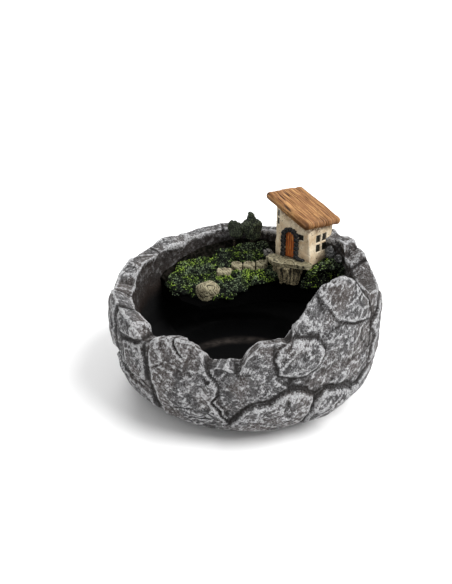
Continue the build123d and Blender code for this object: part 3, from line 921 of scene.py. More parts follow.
def painted_stone(name, dark, base, light, grain, brush=0.8, roughness=0.75, bump_depth=0.5):
    """Material of painted cast stone."""
    material, n, shader = new_material(name)
    place = n.place()
    marks = add_group(n, stone_grain, Vector=place, Grain=grain)
    tone = n.spots(place, 260.0, 0.30, 0.70, 3.0)
    body = n.blend(tone, tuple(0.65 * c for c in base), base)
    body = n.paint(body, marks["Pits"], 0.8, dark)
    up = n.ramp(n.read("edge"), 0.05, 0.65)
    touch = n.maths("MULTIPLY_ADD", up, brush, n.times(marks["Flecks"], 0.55), clamp=True)
    body = n.blend(touch, body, light)
    body = n.paint(body, n.ramp(n.read("edge"), -0.10, -0.70), 0.9, dark)
    n.fill(shader.inputs["Base Color"], body)
    shader.inputs["Roughness"].default_value = roughness
    shader.inputs["Specular IOR Level"].default_value = 0.3
    bump(n, shader, marks["Height"], 0.8, bump_depth * mm)
    return material


path_stone = painted_stone("path_stone", (0.012, 0.010, 0.005), (0.165, 0.140, 0.080),
                           (0.38, 0.345, 0.225), 1000.0, 0.7)
corbel_stone = painted_stone("corbel_stone", (0.003, 0.002, 0.001), (0.080, 0.066, 0.036),
                             (0.30, 0.25, 0.15), 900.0, 0.75)
grey_stone = painted_stone("grey_stone", (0.008, 0.008, 0.008), (0.085, 0.080, 0.070),
                           (0.34, 0.33, 0.30), 900.0)
dark_stone = painted_stone("dark_stone", (0.004, 0.004, 0.004), (0.022, 0.022, 0.021),
                           (0.15, 0.15, 0.15), 1000.0, 0.7)
arch_stone = painted_stone("arch_stone", (0.001, 0.001, 0.001), (0.005, 0.006, 0.006),
                           (0.06, 0.06, 0.06), 1500.0, 0.40)

# %% [markdown]
# Each stone differs in a few numbers: how sharp its corners are, how much it grows, the way its
# layers run, how rough it is, how deep it reaches and how far it is lifted out of the moss.

# %% Stepping stones, boulder and rocks
for number in range(1, 5):
    stone_piece(f"stepping_stone_{number}", f"step_stone_{number}", path_stone,
                sharpness=8, grow=0.8 * mm, grain=(0.6, 0.5, 0.6), rough=0.7, deeper=1.8,
                lift=1.8 * mm)
stone_piece("path_boulder_stone", "path_boulder", path_stone, sharpness=6,
            grow=2.7 * mm, grain=(0.5, -0.5, 0.7), rough=0.8, deeper=1.1, lift=1.5 * mm)
stone_piece("rock_at_door", "rock_by_door", grey_stone)
for size in ("large", "small"):
    stone_piece(f"rock_at_wall_{size}", f"rock_by_wall_{size}", dark_stone,
                lift=2.4 * mm)
stone_piece("arch_foot_stone", "door_sill", arch_stone, 8, 0.2 * mm, rough=0.6)

# %% [markdown]
# The terrace is one split flagstone. Its outline wanders, and its top is nearly flat: the
# layers of the stone come off in thin steps, so the height is noise cut into a few levels.

# %% Flagstone terrace


def flagstone():
    """Soft body of the slab; outline moved by noise, top height = noise rounded to thin steps."""
    step_height, middle_step = 0.42 * mm, 1.4
    grid = soft_body("doorstep_slab", 16, rows=90, around=220, slack=2.2 * mm)
    facing = surface_normals(grid)
    plan = grid * np.array([1, 1, 0.2])
    layers = (rough_noise(plan, 13 * mm, 71) + 1) * 1.6
    step = np.floor(layers) + smooth_step(layers - np.floor(layers), 0.80, 1.0)
    flat = smooth_step(np.abs(facing[..., 2]), 0.4, 0.9)
    outline = rough_noise(plan, 7 * mm, 73) * 1.5 * mm + soft_noise(grid, 1.6 * mm, 74) * 0.25 * mm
    fine = rough_noise(grid, 2.0 * mm, 75) * 0.12 * mm
    height = flat * ((step - middle_step) * step_height) + (1 - flat) * outline + fine
    return carve(grid, height)


slab_shape, slab_edge = flagstone()
finish_piece(grid_piece("terrace_slab", slab_shape, {"edge": slab_edge}), path_stone,
             "doorstep_slab")

# %% [markdown]
# The terrace stands on a rock that looks like a bundle of upright ribs. It is a tapering oval
# column: the radius at each angle gets ribs from noise that changes with the angle alone.

# %% Ribbed rock under the terrace
corbel_low, corbel_high = node_box("slab_corbel")


def ribbed_rock():
    """Rows of an oval that narrows downward; radius = oval x taper x (1 + ribs) + roughness."""
    rows, around = 70, 220
    foot_lift, head_gap = 3.0 * mm, 0.1 * mm
    share = np.linspace(0, 1, rows)[:, None]
    turn = turns(around)
    circle = np.stack([np.cos(turn), np.sin(turn), 0 * turn], axis=-1)
    ribs = soft_noise(circle, 0.45, 3) * 0.16 + soft_noise(circle, 0.17, 4) * 0.07
    bottom_cut = 0.78 + 0.42 * share**0.8
    taper = bottom_cut * (1 + ribs) * (0.35 + 0.65 * smooth_step(share, -0.06, 0.12))
    centre = (corbel_low + corbel_high) / 2
    oval = (corbel_high - corbel_low)[:2] / 2 * np.array([0.98, 0.90])
    x = centre[0] + oval[0] * np.cos(turn) * taper
    y = centre[1] + oval[1] * np.sin(turn) * taper
    drop = soft_noise(circle, 0.4, 5) * 3.0 * mm * (1 - share)
    tall = corbel_high[2] - corbel_low[2] - foot_lift - head_gap
    z = corbel_low[2] + foot_lift + tall * share + drop
    grid = np.stack([x, y, z * np.ones_like(x)], axis=-1)
    squash = grid * np.array([1, 1, 0.5])
    height = rough_noise(squash, 4.5 * mm, 8) * 1.3 * mm + rough_noise(grid, 1.3 * mm, 9) * 0.2 * mm
    return carve(grid, height)


corbel_shape, corbel_edge = ribbed_rock()
finish_piece(grid_piece("terrace_rock", corbel_shape, {"edge": corbel_edge}),
             corbel_stone, "slab_corbel")

# %% [markdown]
# ## Moss
# Real flock is thousands of short crumbs glued on a lumpy ground. Each patch is one mesh with
# two layers: flat cushions that give the lumps, and small eight-sided crumbs all over them.
# A fixed seed makes the same moss on each run. Every point keeps a tint with painted light and shade in it,
# darker on the cushions under the crumbs and lighter on crumbs that face up, which the material turns into
# dark, middle and fresh green.

# %% Repeat a small shape many times


def repeat_shape(template, faces, centres, sizes, tints_with_light):
    """Points, faces and tints (with painted light and shade in them) of a template put at every centre, at
    that centre's size.
    """
    points = centres[:, None, :] + template[None] * sizes[:, None, :]
    shift = np.arange(len(centres))[:, None, None] * len(template)
    all_faces = (faces[None] + shift).reshape(-1, faces.shape[1])
    return points.reshape(-1, 3), all_faces, np.repeat(tints_with_light, len(template))


# A crumb is two four-sided pyramids base to base: four points round, then the top and the foot.
crumb_points = np.array([[1, 0, 0], [0, 1, 0], [-1, 0, 0], [0, -1, 0], [0, 0, 1], [0, 0, -1]], dtype=float)
crumb_upper = [[0, 1, 4], [1, 2, 4], [2, 3, 4], [3, 0, 4]]
crumb_lower = [[1, 0, 5], [2, 1, 5], [3, 2, 5], [0, 3, 5]]
crumb_faces = np.array(crumb_upper + crumb_lower)


def cushion_template(rows=4, around=9):
    """Closed unit ball with few faces, all of them triangles."""
    ball = unit_ball(rows, around).reshape(-1, 3)
    index = np.arange(rows * around).reshape(rows, around)
    beside = np.roll(index, -1, axis=1)
    side = np.stack([index[:-1], beside[:-1], beside[1:]], axis=-1).reshape(-1, 3)
    side_b = np.stack([index[:-1], beside[1:], index[1:]], axis=-1).reshape(-1, 3)
    low = np.stack([beside[0], index[0], np.full(around, len(ball))], axis=-1)
    high = np.stack([index[-1], beside[-1], np.full(around, len(ball) + 1)], axis=-1)
    points = np.concatenate([ball, [[0, 0, -1], [0, 0, 1]]])
    return points, np.concatenate([side, side_b, low, high])


cushion_points, cushion_faces = cushion_template()

# %% [markdown]
# The moss does not cover the whole bank. Two lines in plan say where it ends: behind the one the ground is
# left bare, so its dark earth stands in as painted shade under the back wall, and the dark lip of the bank
# lies in front of the other.

# %% Where the moss ends
# Behind this line the bank stays bare: its dark earth is painted shade under the back wall and the shrubs.
moss_back_edge = np.array([(-66, 47), (-62, 54), (-54, 64), (-40, 68), (-26, 69), (-22, 76), (-12, 79),
                           (4, 81), (19, 81), (26, 82), (100, 82)]) * mm

moss_front_edge = np.array([(-70, 46), (-62, 38), (-48, 34.5), (-38, 33.5), (-22, 30.5), (-12, 31), (0, 35),
                            (14, 39), (22, 41), (34, 40), (60, 37), (100, 36)]) * mm


def edge_at(edge, across):
    """How far back an edge line runs at each place across the bank."""
    return np.interp(across, edge[:, 0], edge[:, 1])


# %% [markdown]
# Cushions are scattered by area over the CAD patch: more of them on steep edges, so that the
# moss looks full from the side too, and none underneath. Crumbs cover mostly their upper half.

# %% Scatter the moss


def scatter_on(node, count, random):
    """Random places on a node's faces, spread by area, with the height of each face's normal."""
    corners = node_triangles(node)
    cross = face_cross(corners)
    area = np.linalg.norm(cross, axis=1)
    lift = cross[:, 2] / np.maximum(area, 1e-12)
    chance = np.where(lift > -0.3, area * np.where(lift > 0.5, 1.0, 1.6), 0)
    chosen = random.choice(len(corners), count, p=chance / chance.sum())
    a, b = np.sqrt(random.random(count)), random.random(count)
    weights = np.stack([1 - a, a * (1 - b), a * b], axis=-1)
    return np.einsum("ij,ijk->ik", weights, corners[chosen]), lift[chosen], area.sum() / 2


def moss_piece(name, node, seed, tint_offset):
    """Cushions spread over a moss node and crumbs spread over every cushion."""
    area_per_cushion, per_cushion = 5.0 * mm * mm, 34
    random = np.random.default_rng(seed)
    surface = scatter_on(node, 1, random)[2]
    places, lift, _ = scatter_on(node, int(surface / area_per_cushion), random)
    bare = places[:, 1] > edge_at(moss_back_edge, places[:, 0])
    bare |= places[:, 1] < edge_at(moss_front_edge, places[:, 0])
    places, lift = places[~bare], lift[~bare]
    mound = soft_noise(places, 9 * mm, 17)
    width = random.uniform(1.8, 3.4, len(places)) * mm
    sizes = np.stack([width, width, width * 0.7], axis=-1)
    places[:, 2] += (mound * 2.0 - 0.4) * mm - np.where(lift < 0.5, 1.0, 0.0) * mm
    # Higher mounds get a lighter tint: a painted highlight on the tops of the lumps.
    shade = 0.26 + 0.34 * mound + 0.14 * random.standard_normal(len(places)) + tint_offset
    way = random.standard_normal((len(places), per_cushion, 3))
    way[..., 2] = np.abs(way[..., 2]) * 0.9 - 0.25
    way /= np.linalg.norm(way, axis=-1, keepdims=True)
    crumb_places = (places[:, None, :] + way * sizes[:, None, :]).reshape(-1, 3)
    crumb_size = random.uniform(0.35, 0.85, (len(crumb_places), 1)) * mm * np.ones(3)
    # Crumbs that face up get a lighter tint: a painted highlight from above.
    light = np.repeat(shade, per_cushion) + 0.42 * way[..., 2].ravel() - 0.10
    light += 0.30 * random.standard_normal(len(crumb_places))
    # Cushions sit 0.60 below the crumbs' tint: painted shade in the gaps between the crumbs.
    body = repeat_shape(cushion_points, cushion_faces, places, sizes, shade - 0.60)
    crumbs = repeat_shape(crumb_points, crumb_faces, crumb_places, crumb_size, light)
    points = np.concatenate([body[0], crumbs[0]])
    faces = body[1].tolist() + (crumbs[1] + len(body[0])).tolist()
    piece = new_object(name, points, faces)
    add_attribute(piece, "tint_with_light_and_shade", np.clip(np.concatenate([body[2], crumbs[2]]), 0, 1))
    return piece


# %% [markdown]
# Moss has three greens, chosen by the tint on the points: nearly black between the crumbs as painted shade,
# a middle green, and yellow-green tips, lightest on crumbs that face up as a painted highlight. Patches of
# fresher growth wander over the bank.

# %% Moss material
moss_material, n, shader = new_material("moss_flock")
place = n.place()
flicker = n.maths("MULTIPLY_ADD", n.noise(place, 700.0, 2.0), 0.3, -0.15)
tint_with_light_and_shade = n.maths("ADD", n.read("tint_with_light_and_shade"), flicker)
fresh_patch = n.spots(place, 70.0, 0.44, 0.60, 2.0)
middle_green = n.blend(fresh_patch, (0.030, 0.042, 0.024), (0.048, 0.085, 0.014))
tip_green = n.blend(fresh_patch, (0.19, 0.25, 0.14), (0.30, 0.44, 0.06))
# The tint carries painted shade and highlight: low values give the near-black between crumbs, high ones the
# lit tips.
green = n.blend(n.ramp(tint_with_light_and_shade, 0.10, 0.55), (0.002, 0.003, 0.002), middle_green)
green = n.blend(n.ramp(tint_with_light_and_shade, 0.50, 1.0), green, tip_green)
n.fill(shader.inputs["Base Color"], green)
shader.inputs["Roughness"].default_value = 0.95
shader.inputs["Specular IOR Level"].default_value = 0.15
bump(n, shader, n.noise(place, 2600.0, 2.0), 0.6, 0.2 * mm)

# The last number lifts or lowers the greens of a whole patch.
for name, node, seed, tint_offset in (
    ("moss_patch_left", "moss_left", 11, 0.06), ("moss_patch_front", "moss_front", 12, 0.14),
    ("moss_patch_back", "moss_back", 13, -0.06), ("moss_patch_right", "moss_right", 14, 0.02),
):
    finish_piece(moss_piece(name, node, seed, tint_offset), moss_material, node)

# %% [markdown]
# ## Shrubs
# Each shrub is a spindle about its stem. Small random cells push out leaf tips, and softer noise
# leans whole boughs out, so that the outline is not a clean egg.

# %% Shrubs and stems


def shrub_grid(node, seed, lean, shift, shoulder):
    """Spindle: radius = widest x sin(pi t) to a power, plus boughs and leaf tips on the normal."""
    low, high = node_box(node)
    centre, half_size = (low + high) / 2, (high - low) / 2
    rows, around = 90, 130
    share = np.linspace(0.012, 0.988, rows)[:, None]
    turn = turns(around)
    width = 0.95 * half_size[0] * np.sin(np.pi * share**0.85) ** 0.5
    width = width * (1 - shoulder * smooth_step(share, 0.62, 0.74))
    side, bottom, top = shift
    x = centre[0] + side + width * np.cos(turn) + lean * half_size[0] * share
    y = centre[1] + width * np.sin(turn)
    z = low[2] + bottom + (high[2] - low[2] + top - bottom) * share * np.ones_like(turn)
    grid = np.stack([x, y, z], axis=-1)
    bough = soft_noise(grid, 7 * mm, seed) * 1.8 * mm + soft_noise(grid, 3.4 * mm, seed + 1) * 0.9 * mm
    tip, _, _ = chips(grid * np.array([1, 1, 0.75]), 1.5 * mm, seed + 2)
    return carve(grid, bough + (0.55 - tip) * 1.1 * mm, reach=0.18 * mm)


# %% [markdown]
# The leaf is dark in its hollows as painted shade and grey-green on its tips as painted highlight, which
# the edge value tells apart.

# %% Leaf and bark, and the two shrubs
shrub_leaf, n, shader = new_material("shrub_leaf")
place = n.place()
mottle = n.times(n.noise(place, 500.0), 0.45)
# Painted light: raised tips lighter as painted highlight, hollows darker as painted shade, over a mottle of
# the leaf's own.
lit_tips_and_mottle = n.maths("MULTIPLY_ADD", n.ramp(n.read("edge"), -0.2, 0.8), 0.7, mottle)
leaf = n.blend(n.ramp(lit_tips_and_mottle, 0.2, 0.55), (0.004, 0.006, 0.003), (0.024, 0.034, 0.014))
leaf = n.blend(n.ramp(lit_tips_and_mottle, 0.55, 1.0), leaf, (0.085, 0.105, 0.055))
n.fill(shader.inputs["Base Color"], leaf)
shader.inputs["Roughness"].default_value = 0.9
bump(n, shader, n.noise(place, 1800.0, 3.0), 0.7, 0.3 * mm)

bark = painted_stone("shrub_bark", (0.004, 0.003, 0.002), (0.022, 0.015, 0.009),
                     (0.08, 0.06, 0.04), 1200.0)
for name, node, seed, lean, shift, shoulder in (
    ("short_shrub", "shrub_short", 21, -0.4, (2.6 * mm, 2.0 * mm, 2.6 * mm), 0.0),
    ("tall_shrub", "shrub_tall", 31, -0.25, (0.4 * mm, -2.0 * mm, -0.6 * mm), 0.36),
):
    shrub_shape, shrub_edge = shrub_grid(node, seed, lean, shift, shoulder)
    finish_piece(grid_piece(name, shrub_shape, {"edge": shrub_edge}), shrub_leaf, node)
    stone_piece(f"{name}_stem", f"{node}_trunk", bark, 6, 0.2 * mm, rough=0.5)

# %% [markdown]
# ## Cottage walls
# Hand-made plaster walls are never flat. The walls are one sheet that goes round the five
# sides. Its reach at each height comes from the CAD wall planes, the corners are rounded, the
# windows and the door are pressed in, and lumps and chipped spots finish the plaster.

# %% Planes of the walls and the frames of the openings
wall_normals, wall_distances = hull_planes("cottage_walls")
upright = np.abs(wall_normals[:, 2]) < 0.5
side_normals, side_distances = wall_normals[upright], wall_distances[upright]
top_plane = np.argmax(wall_normals[:, 2])
wall_low, wall_high = node_box("cottage_walls")
wall_centre = (wall_low + wall_high) / 2


def groups_by_gap(values, gap):
    """Label values so that a new group starts wherever sorted neighbours lie a gap apart."""
    order = np.argsort(values)
    starts = np.concatenate([[0], np.cumsum(np.diff(values[order]) > gap)])
    labels = np.empty(len(values), dtype=int)
    labels[order] = starts
    return labels


def opening_frames(node):
    """For each pane of a node: wall plane, along-wall direction, middle and half sizes. A pane's
    two edges are two groups of values, so groups are taken in pairs."""
    points = node_points(node)
    middle = points.mean(axis=0)
    plane = np.argmin(np.abs(side_normals @ middle - side_distances))
    along = unit(np.array([-side_normals[plane, 1], side_normals[plane, 0], 0]))
    u, z = points @ along, points[:, 2]
    frames = []
    column_labels = groups_by_gap(u, 0.9 * mm) // 2
    row_labels = groups_by_gap(z, 0.9 * mm) // 2
    for column in np.unique(column_labels):
        for row in np.unique(row_labels):
            chosen = (column_labels == column) & (row_labels == row)
            if chosen.any():
                low = np.array([u[chosen].min(), z[chosen].min()])
                high = np.array([u[chosen].max(), z[chosen].max()])
                frames.append((plane, along, (low + high) / 2, (high - low) / 2))
    return frames



# %% [markdown]
# The same is measured for the door: its wall, its middle, its half width and the height where
# its arch springs.

# %% Measure the windows and the door
window_frames = opening_frames("front_window_pane") + opening_frames("side_window_panes")
window_frames += opening_frames("end_window_panes")
leaf_points = node_points("door_leaf")
door_plane = np.argmin(np.abs(side_normals @ leaf_points.mean(axis=0) - side_distances))
door_out = unit(side_normals[door_plane] * np.array([1, 1, 0]))
door_along = np.array([-door_out[1], door_out[0], 0])
door_u = leaf_points @ door_along
door_middle, door_half = (door_u.min() + door_u.max()) / 2, (door_u.max() - door_u.min()) / 2
door_low, door_top = leaf_points[:, 2].min(), leaf_points[:, 2].max()
door_spring = door_top - door_half
door_wall = (node_points("cottage_walls") @ door_out).max()
print("windows:", len(window_frames), "door half width:", round(door_half / mm, 2), "mm")


def inside_door(u, z):
    """How far a place on the door wall lies inside the door's arched outline."""
    below = door_half - np.abs(u - door_middle)
    above = door_half - np.hypot(u - door_middle, z - door_spring)
    return np.where(z < door_spring, below, above)


# %% [markdown]
# The ring is made at one height and then again at each row, because not all walls are upright.
# Its columns are spread evenly along the ring, so that small windows get enough points.

# %% Rings of the walls


def wall_ring(height, turn, power=26):
    """Points of the wall ring at each turn: soft nearest wall plane at that height."""
    way = np.stack([np.cos(turn), np.sin(turn), 0 * turn], axis=-1)
    start = np.broadcast_to(wall_centre, way.shape).copy()
    start[..., 2] = height
    room = side_distances - start @ side_normals.T
    pull = np.maximum(way @ side_normals.T, 0) / room
    reach = (pull**power).sum(axis=-1) ** (-1 / power)
    return start + way * reach[..., None]


def wall_grid(rows=165, around=340):
    """Rows of wall rings from the terrace up to the roof, with columns evenly spaced."""
    turn = np.linspace(0, 2 * np.pi, 2000)
    ring = wall_ring(np.full(turn.shape, wall_centre[2]), turn)
    length = np.concatenate([[0], np.cumsum(np.linalg.norm(np.diff(ring, axis=0), axis=1))])
    turn = np.interp(np.linspace(0, length[-1], around, endpoint=False), length, turn)
    turn = np.broadcast_to(turn, (rows, around))
    ring = wall_ring(np.full(turn.shape, wall_centre[2]), turn)
    normal, distance = wall_normals[top_plane], wall_distances[top_plane]
    top = (distance - ring[..., 0] * normal[0] - ring[..., 1] * normal[1]) / normal[2]
    share = np.linspace(0, 1, rows)[:, None]
    return wall_ring(wall_low[2] + (top + 0.6 * mm - wall_low[2]) * share, turn)


# %% [markdown]
# Openings are pressed in wherever a point lies inside a window or the door. Their outlines
# wander a little, because the plaster round them was worked by hand.

# %% Press in the windows and the door
wall_base = wall_grid()
wall_outward = surface_normals(wall_base)
wander = np.stack([soft_noise(wall_base, 2.2 * mm, seed) for seed in (1, 2, 3)], axis=-1) * 0.28 * mm
wandering = wall_base + wander
press = np.zeros(wall_base.shape[:2])
hole_margin = 0.5 * mm
for plane, along, middle, half_size in window_frames:
    beside = np.abs(wandering @ along - middle[0])
    above = np.abs(wandering[..., 2] - middle[1])
    facing = wall_outward @ side_normals[plane] > 0.8
    half_hole = half_size + hole_margin
    inside_by = np.minimum(half_hole[0] - beside, half_hole[1] - above)
    press = np.maximum(press, smooth_step(inside_by, -0.05 * mm, 0.45 * mm) * facing)
in_door = smooth_step(inside_door(wandering @ door_along, wall_base[..., 2]), -0.6 * mm, -0.1 * mm)
press = np.maximum(press, in_door * (wall_outward @ door_out > 0.8))

# %% [markdown]
# Lumps and chipped spots finish the plaster. The cottage is not quite square either: its front
# corner leans to the left towards the top, and its side wall runs a little past the CAD wall.

# %% Lumps, chips and the crooked corner
opening_depth, chip_depth = 2.3 * mm, 0.30 * mm
corner_shift_at_foot, corner_shift_change, corner_reach = 1.4 * mm, 3.0 * mm, 4.5 * mm
far_end_stretch = 2.4 * mm
lumps = rough_noise(wall_base, 6 * mm, 301) * 0.38 * mm + soft_noise(wall_base, 1.5 * mm, 311) * 0.10 * mm
chip_near, _, chip_owner = chips(wall_base + wander * 3, 3.0 * mm, 321)
chipped = smooth_step(0.40 - chip_near, 0.0, 0.30) * (chip_owner > 0.80)
chipped = chipped * smooth_step(soft_noise(wall_base, 1.1 * mm, 331), -0.5, 0.3)
wall_height = lumps - chip_depth * chipped - press * opening_depth
wall_shape = wall_base + wall_outward * wall_height[..., None]
up_share = np.linspace(0, 1, wall_base.shape[0])[:, None]
front_corner = wall_base[:, np.argmin(wall_base[0, :, 1])][:, None]
corner_gap = np.linalg.norm((wall_base - front_corner)[..., :2], axis=-1)
corner_shift = corner_shift_at_foot - corner_shift_change * up_share
lean = corner_shift * np.exp(-((corner_gap / corner_reach) ** 2))
side_plane, side_along = window_frames[1][:2]
side_u = wall_base @ side_along
last_window = max(frame_middle[0] + half_size[0] for plane, _, frame_middle, half_size in window_frames
                  if plane == side_plane)
past_windows = smooth_step(side_u, last_window, side_u.max())
stretch = past_windows * far_end_stretch * (0.3 + 0.7 * up_share)
wall_shape += lean[..., None] * np.array([1, 0, 0]) + stretch[..., None] * side_along
eave = smooth_step(up_share, 0.74, 0.96) * np.ones(wall_base.shape[:2])
wall_edge = ridge_and_dip(wall_shape, surface_normals(wall_shape), 0.12 * mm)
plaster_walls = grid_piece("plaster_walls", wall_shape, {
    "edge": wall_edge, "chip_and_opening": np.maximum(chipped, press), "eave": eave})

# %% [markdown]
# Old limewash is cream where it is clean. Brown stains, drips under the eave darkened as the roof's painted
# shadow, a darker band towards the ground and dark spots in every chip are laid over it, one coat after
# another; the pressed-in openings and hollows take the same dark as painted shade.

# %% Plaster material
plaster, n, shader = new_material("aged_plaster")
place = n.place()
cloud = n.spots(place, 120.0, 0.32, 0.68)
body = n.blend(cloud, (0.60, 0.43, 0.25), (0.86, 0.74, 0.54))
body = n.paint(body, n.spots(place, 240.0, 0.52, 0.70, 5.0, 0.7), 0.70, (0.34, 0.19, 0.09))
body = n.paint(body, n.ramp(n.read("edge"), 0.10, 0.8), 0.6, (0.85, 0.78, 0.62))
# Painted shadow: the band under the eave is darkened as the roof's shadow, broken up into drips.
eave_shadow_and_drips = n.times(n.read("eave"), n.spots(place, 300.0, 0.40, 0.56, 4.0, 0.7))
body = n.paint(body, eave_shadow_and_drips, 0.90, (0.12, 0.058, 0.028))
# The walls get darker towards the bottom.
darker_low_band = n.ramp(n.axes(place)["Z"], wall_low[2] + 9 * mm, wall_low[2])
body = n.paint(body, darker_low_band, 0.45, (0.16, 0.10, 0.05))
# Chips get dark spots of their own; the pressed-in openings and the hollows get the same dark as painted
# shade in the recesses.
chips_and_recess_shade = n.maths("MAXIMUM", n.times(n.read("chip_and_opening"), 0.90), n.ramp(n.read("edge"), -0.15, -0.8))
flaw = n.times(n.spots(place, 560.0, 0.61, 0.69, 3.0, 0.7), 0.75)
body = n.blend(n.maths("MAXIMUM", chips_and_recess_shade, flaw), body, (0.060, 0.035, 0.018))
n.fill(shader.inputs["Base Color"], body)
shader.inputs["Roughness"].default_value = 0.85
bump(n, shader, n.noise(place, 1500.0, 4.0, 0.65), 0.5, 0.25 * mm)
finish_piece(plaster_walls, plaster, "cottage_walls")

# %% [markdown]
# ## Door
# The leaf is a row of upright planks in an arched outline. Each row of the grid is a flat loop:
# along the front from edge to edge, and back behind it. Round it stands a ring of small rough
# stones, each a rounded block with its own size.

# %% Plank door


def door_point(u, z, out):
    """Place from distance along the door wall, height, and distance out of the wall."""
    u, z, out = np.broadcast_arrays(u, z, out)
    flat = u[..., None] * door_along + (door_wall + out)[..., None] * door_out
    flat[..., 2] = z
    return flat


def plank_door(rows=110, across=70, back=12):
    """Half width = straight below the spring of the arch, a circle above; planks are grooved."""
    height = np.linspace(door_low, door_top - 0.05 * mm, rows)[:, None]
    rise = np.clip((height - door_spring) / door_half, 0, 1)
    half_width = door_half * np.sqrt(1 - rise**2) + 0.02 * mm
    front = np.linspace(-1, 1, across)
    rear = np.linspace(1, -1, back + 2)[1:-1]
    side = np.concatenate([front, rear])[None, :] * half_width
    is_front = np.concatenate([np.ones(across), np.zeros(back)])[None, :]
    plank = np.abs((side / (2.1 * mm) + 0.5) % 1 - 0.5)
    groove = np.exp(-(((0.5 - plank) / 0.10) ** 2))
    grain = stretched_noise(side, height * 0.12, 0.55 * mm, 77)
    out = is_front * (-0.45 * mm - 0.45 * mm * groove + grain * 0.13 * mm) - (1 - is_front) * 1.6 * mm
    return door_point(door_middle + side, height, out), groove * is_front, grain


door_shape, door_groove, door_grain = plank_door()
plank_door_leaf = grid_piece("plank_door_leaf", door_shape, {"groove": door_groove, "grain": door_grain})

# %% [markdown]
# The arch is a walk: up the left jamb, over the half circle and down the right jamb. Blocks
# stand at even steps along it and turn with it.

# %% Ring of arch stones


def arch_stones(seed=5, rows=12, around=18):
    """Blocks along the arch: a ball with its sides flattened (fourth powers), scaled and turned."""
    random = np.random.default_rng(seed)
    middle_radius = door_half + 2.0 * mm
    jamb = door_spring - door_low
    total = 2 * jamb + np.pi * middle_radius
    count = 15
    ball = unit_ball(rows, around)
    block = ball / (np.abs(ball) ** 4).sum(axis=-1, keepdims=True) ** 0.25
    grids = []
    for number in range(count):
        way = (number + 0.5) / count * total
        angle = np.clip((way - jamb) / middle_radius, 0, np.pi)
        u = -middle_radius * np.cos(angle)
        z = door_spring + middle_radius * np.sin(angle)
        z -= max(jamb - way, 0) + max(way - jamb - np.pi * middle_radius, 0)
        half_size = np.array([2.05, total / count / mm / 2, 1.8]) * random.uniform(0.88, 1.12, 3) * mm
        spin = np.pi - angle if 0 < angle < np.pi else 0.0
        local = block * half_size
        across = local[..., 0] * np.cos(spin) - local[..., 1] * np.sin(spin)
        upward = local[..., 0] * np.sin(spin) + local[..., 1] * np.cos(spin)
        grid = door_point(door_middle + u + across, z + upward, 0.75 * mm + local[..., 2])
        noise = rough_noise(grid, 1.4 * mm, 900 + number) * 0.42 * mm
        push = block / np.linalg.norm(block, axis=-1, keepdims=True)
        grid = grid + (push[..., 0, None] * door_along + push[..., 2, None] * door_out) * noise[..., None]
        grids.append(grid)
    return grids


# %% [markdown]
# The fifteen blocks are one CAD node, so their grids are joined into one mesh at the end.

# %% Join the arch stones


def joined_grids(name, grids):
    """One mesh of several closed grids, each with its edge values."""
    pieces = []
    for number, grid in enumerate(grids):
        value = ridge_and_dip(grid, surface_normals(grid), 0.2 * mm)
        pieces.append(grid_piece(f"{name}_{number}", grid, {"edge": value}))
    points, faces, values = [], [], []
    shift = 0
    for piece in pieces:
        mesh = piece.data
        co = np.empty(len(mesh.vertices) * 3)
        mesh.vertices.foreach_get("co", co)
        value = np.empty(len(mesh.vertices), dtype=np.float32)
        mesh.attributes["edge"].data.foreach_get("value", value)
        points.append(co.reshape(-1, 3))
        values.append(value)
        faces += [[v + shift for v in polygon.vertices] for polygon in mesh.polygons]
        shift += len(mesh.vertices)
        bpy.data.objects.remove(piece)
        bpy.data.meshes.remove(mesh)
    joined = new_object(name, np.concatenate(points), faces)
    add_attribute(joined, "edge", np.concatenate(values))
    return joined


finish_piece(joined_grids("arch_stones", arch_stones()), arch_stone, "door_arch")

# %% [markdown]
# ## Roof
# The roof is one thick slab carved to look like split wood. Its section is a flat loop with
# round ends, carried across the slab. Ridges run down the slope, because the noise that lifts
# them is stretched that way, and a few deep splits follow them.

# %% Measure the roof
roof_points = node_points("cottage_roof")
roof_faces = face_cross(node_triangles("cottage_roof"))
roof_up = unit(roof_faces[np.argmax(np.linalg.norm(roof_faces, axis=1) * (roof_faces[:, 2] > 0))])
high_left, low_front = roof_points[np.argmin(roof_points, axis=0)[:2]]
low_right, high_back = roof_points[np.argmax(roof_points, axis=0)[:2]]
roof_top = (roof_points @ roof_up).max()
roof_thick = roof_top - (roof_points @ roof_up).min()
downhill = unit(low_front - high_left)
downhill = unit(downhill - roof_up * (downhill @ roof_up))
sideways = np.cross(roof_up, downhill)
corner_w = np.array([c @ sideways for c in (high_left, low_front, high_back, low_right)])
print("roof thickness:", round(roof_thick / mm, 2), "mm; downhill:", np.round(downhill, 2))


# %% [markdown]
# The slab comes first: a row is a loop down the top, round the eave, back below and round the
# head. The carving follows: strands, gaps between them, splits and fibre, all drawn out downhill.

# %% Carved roof slab


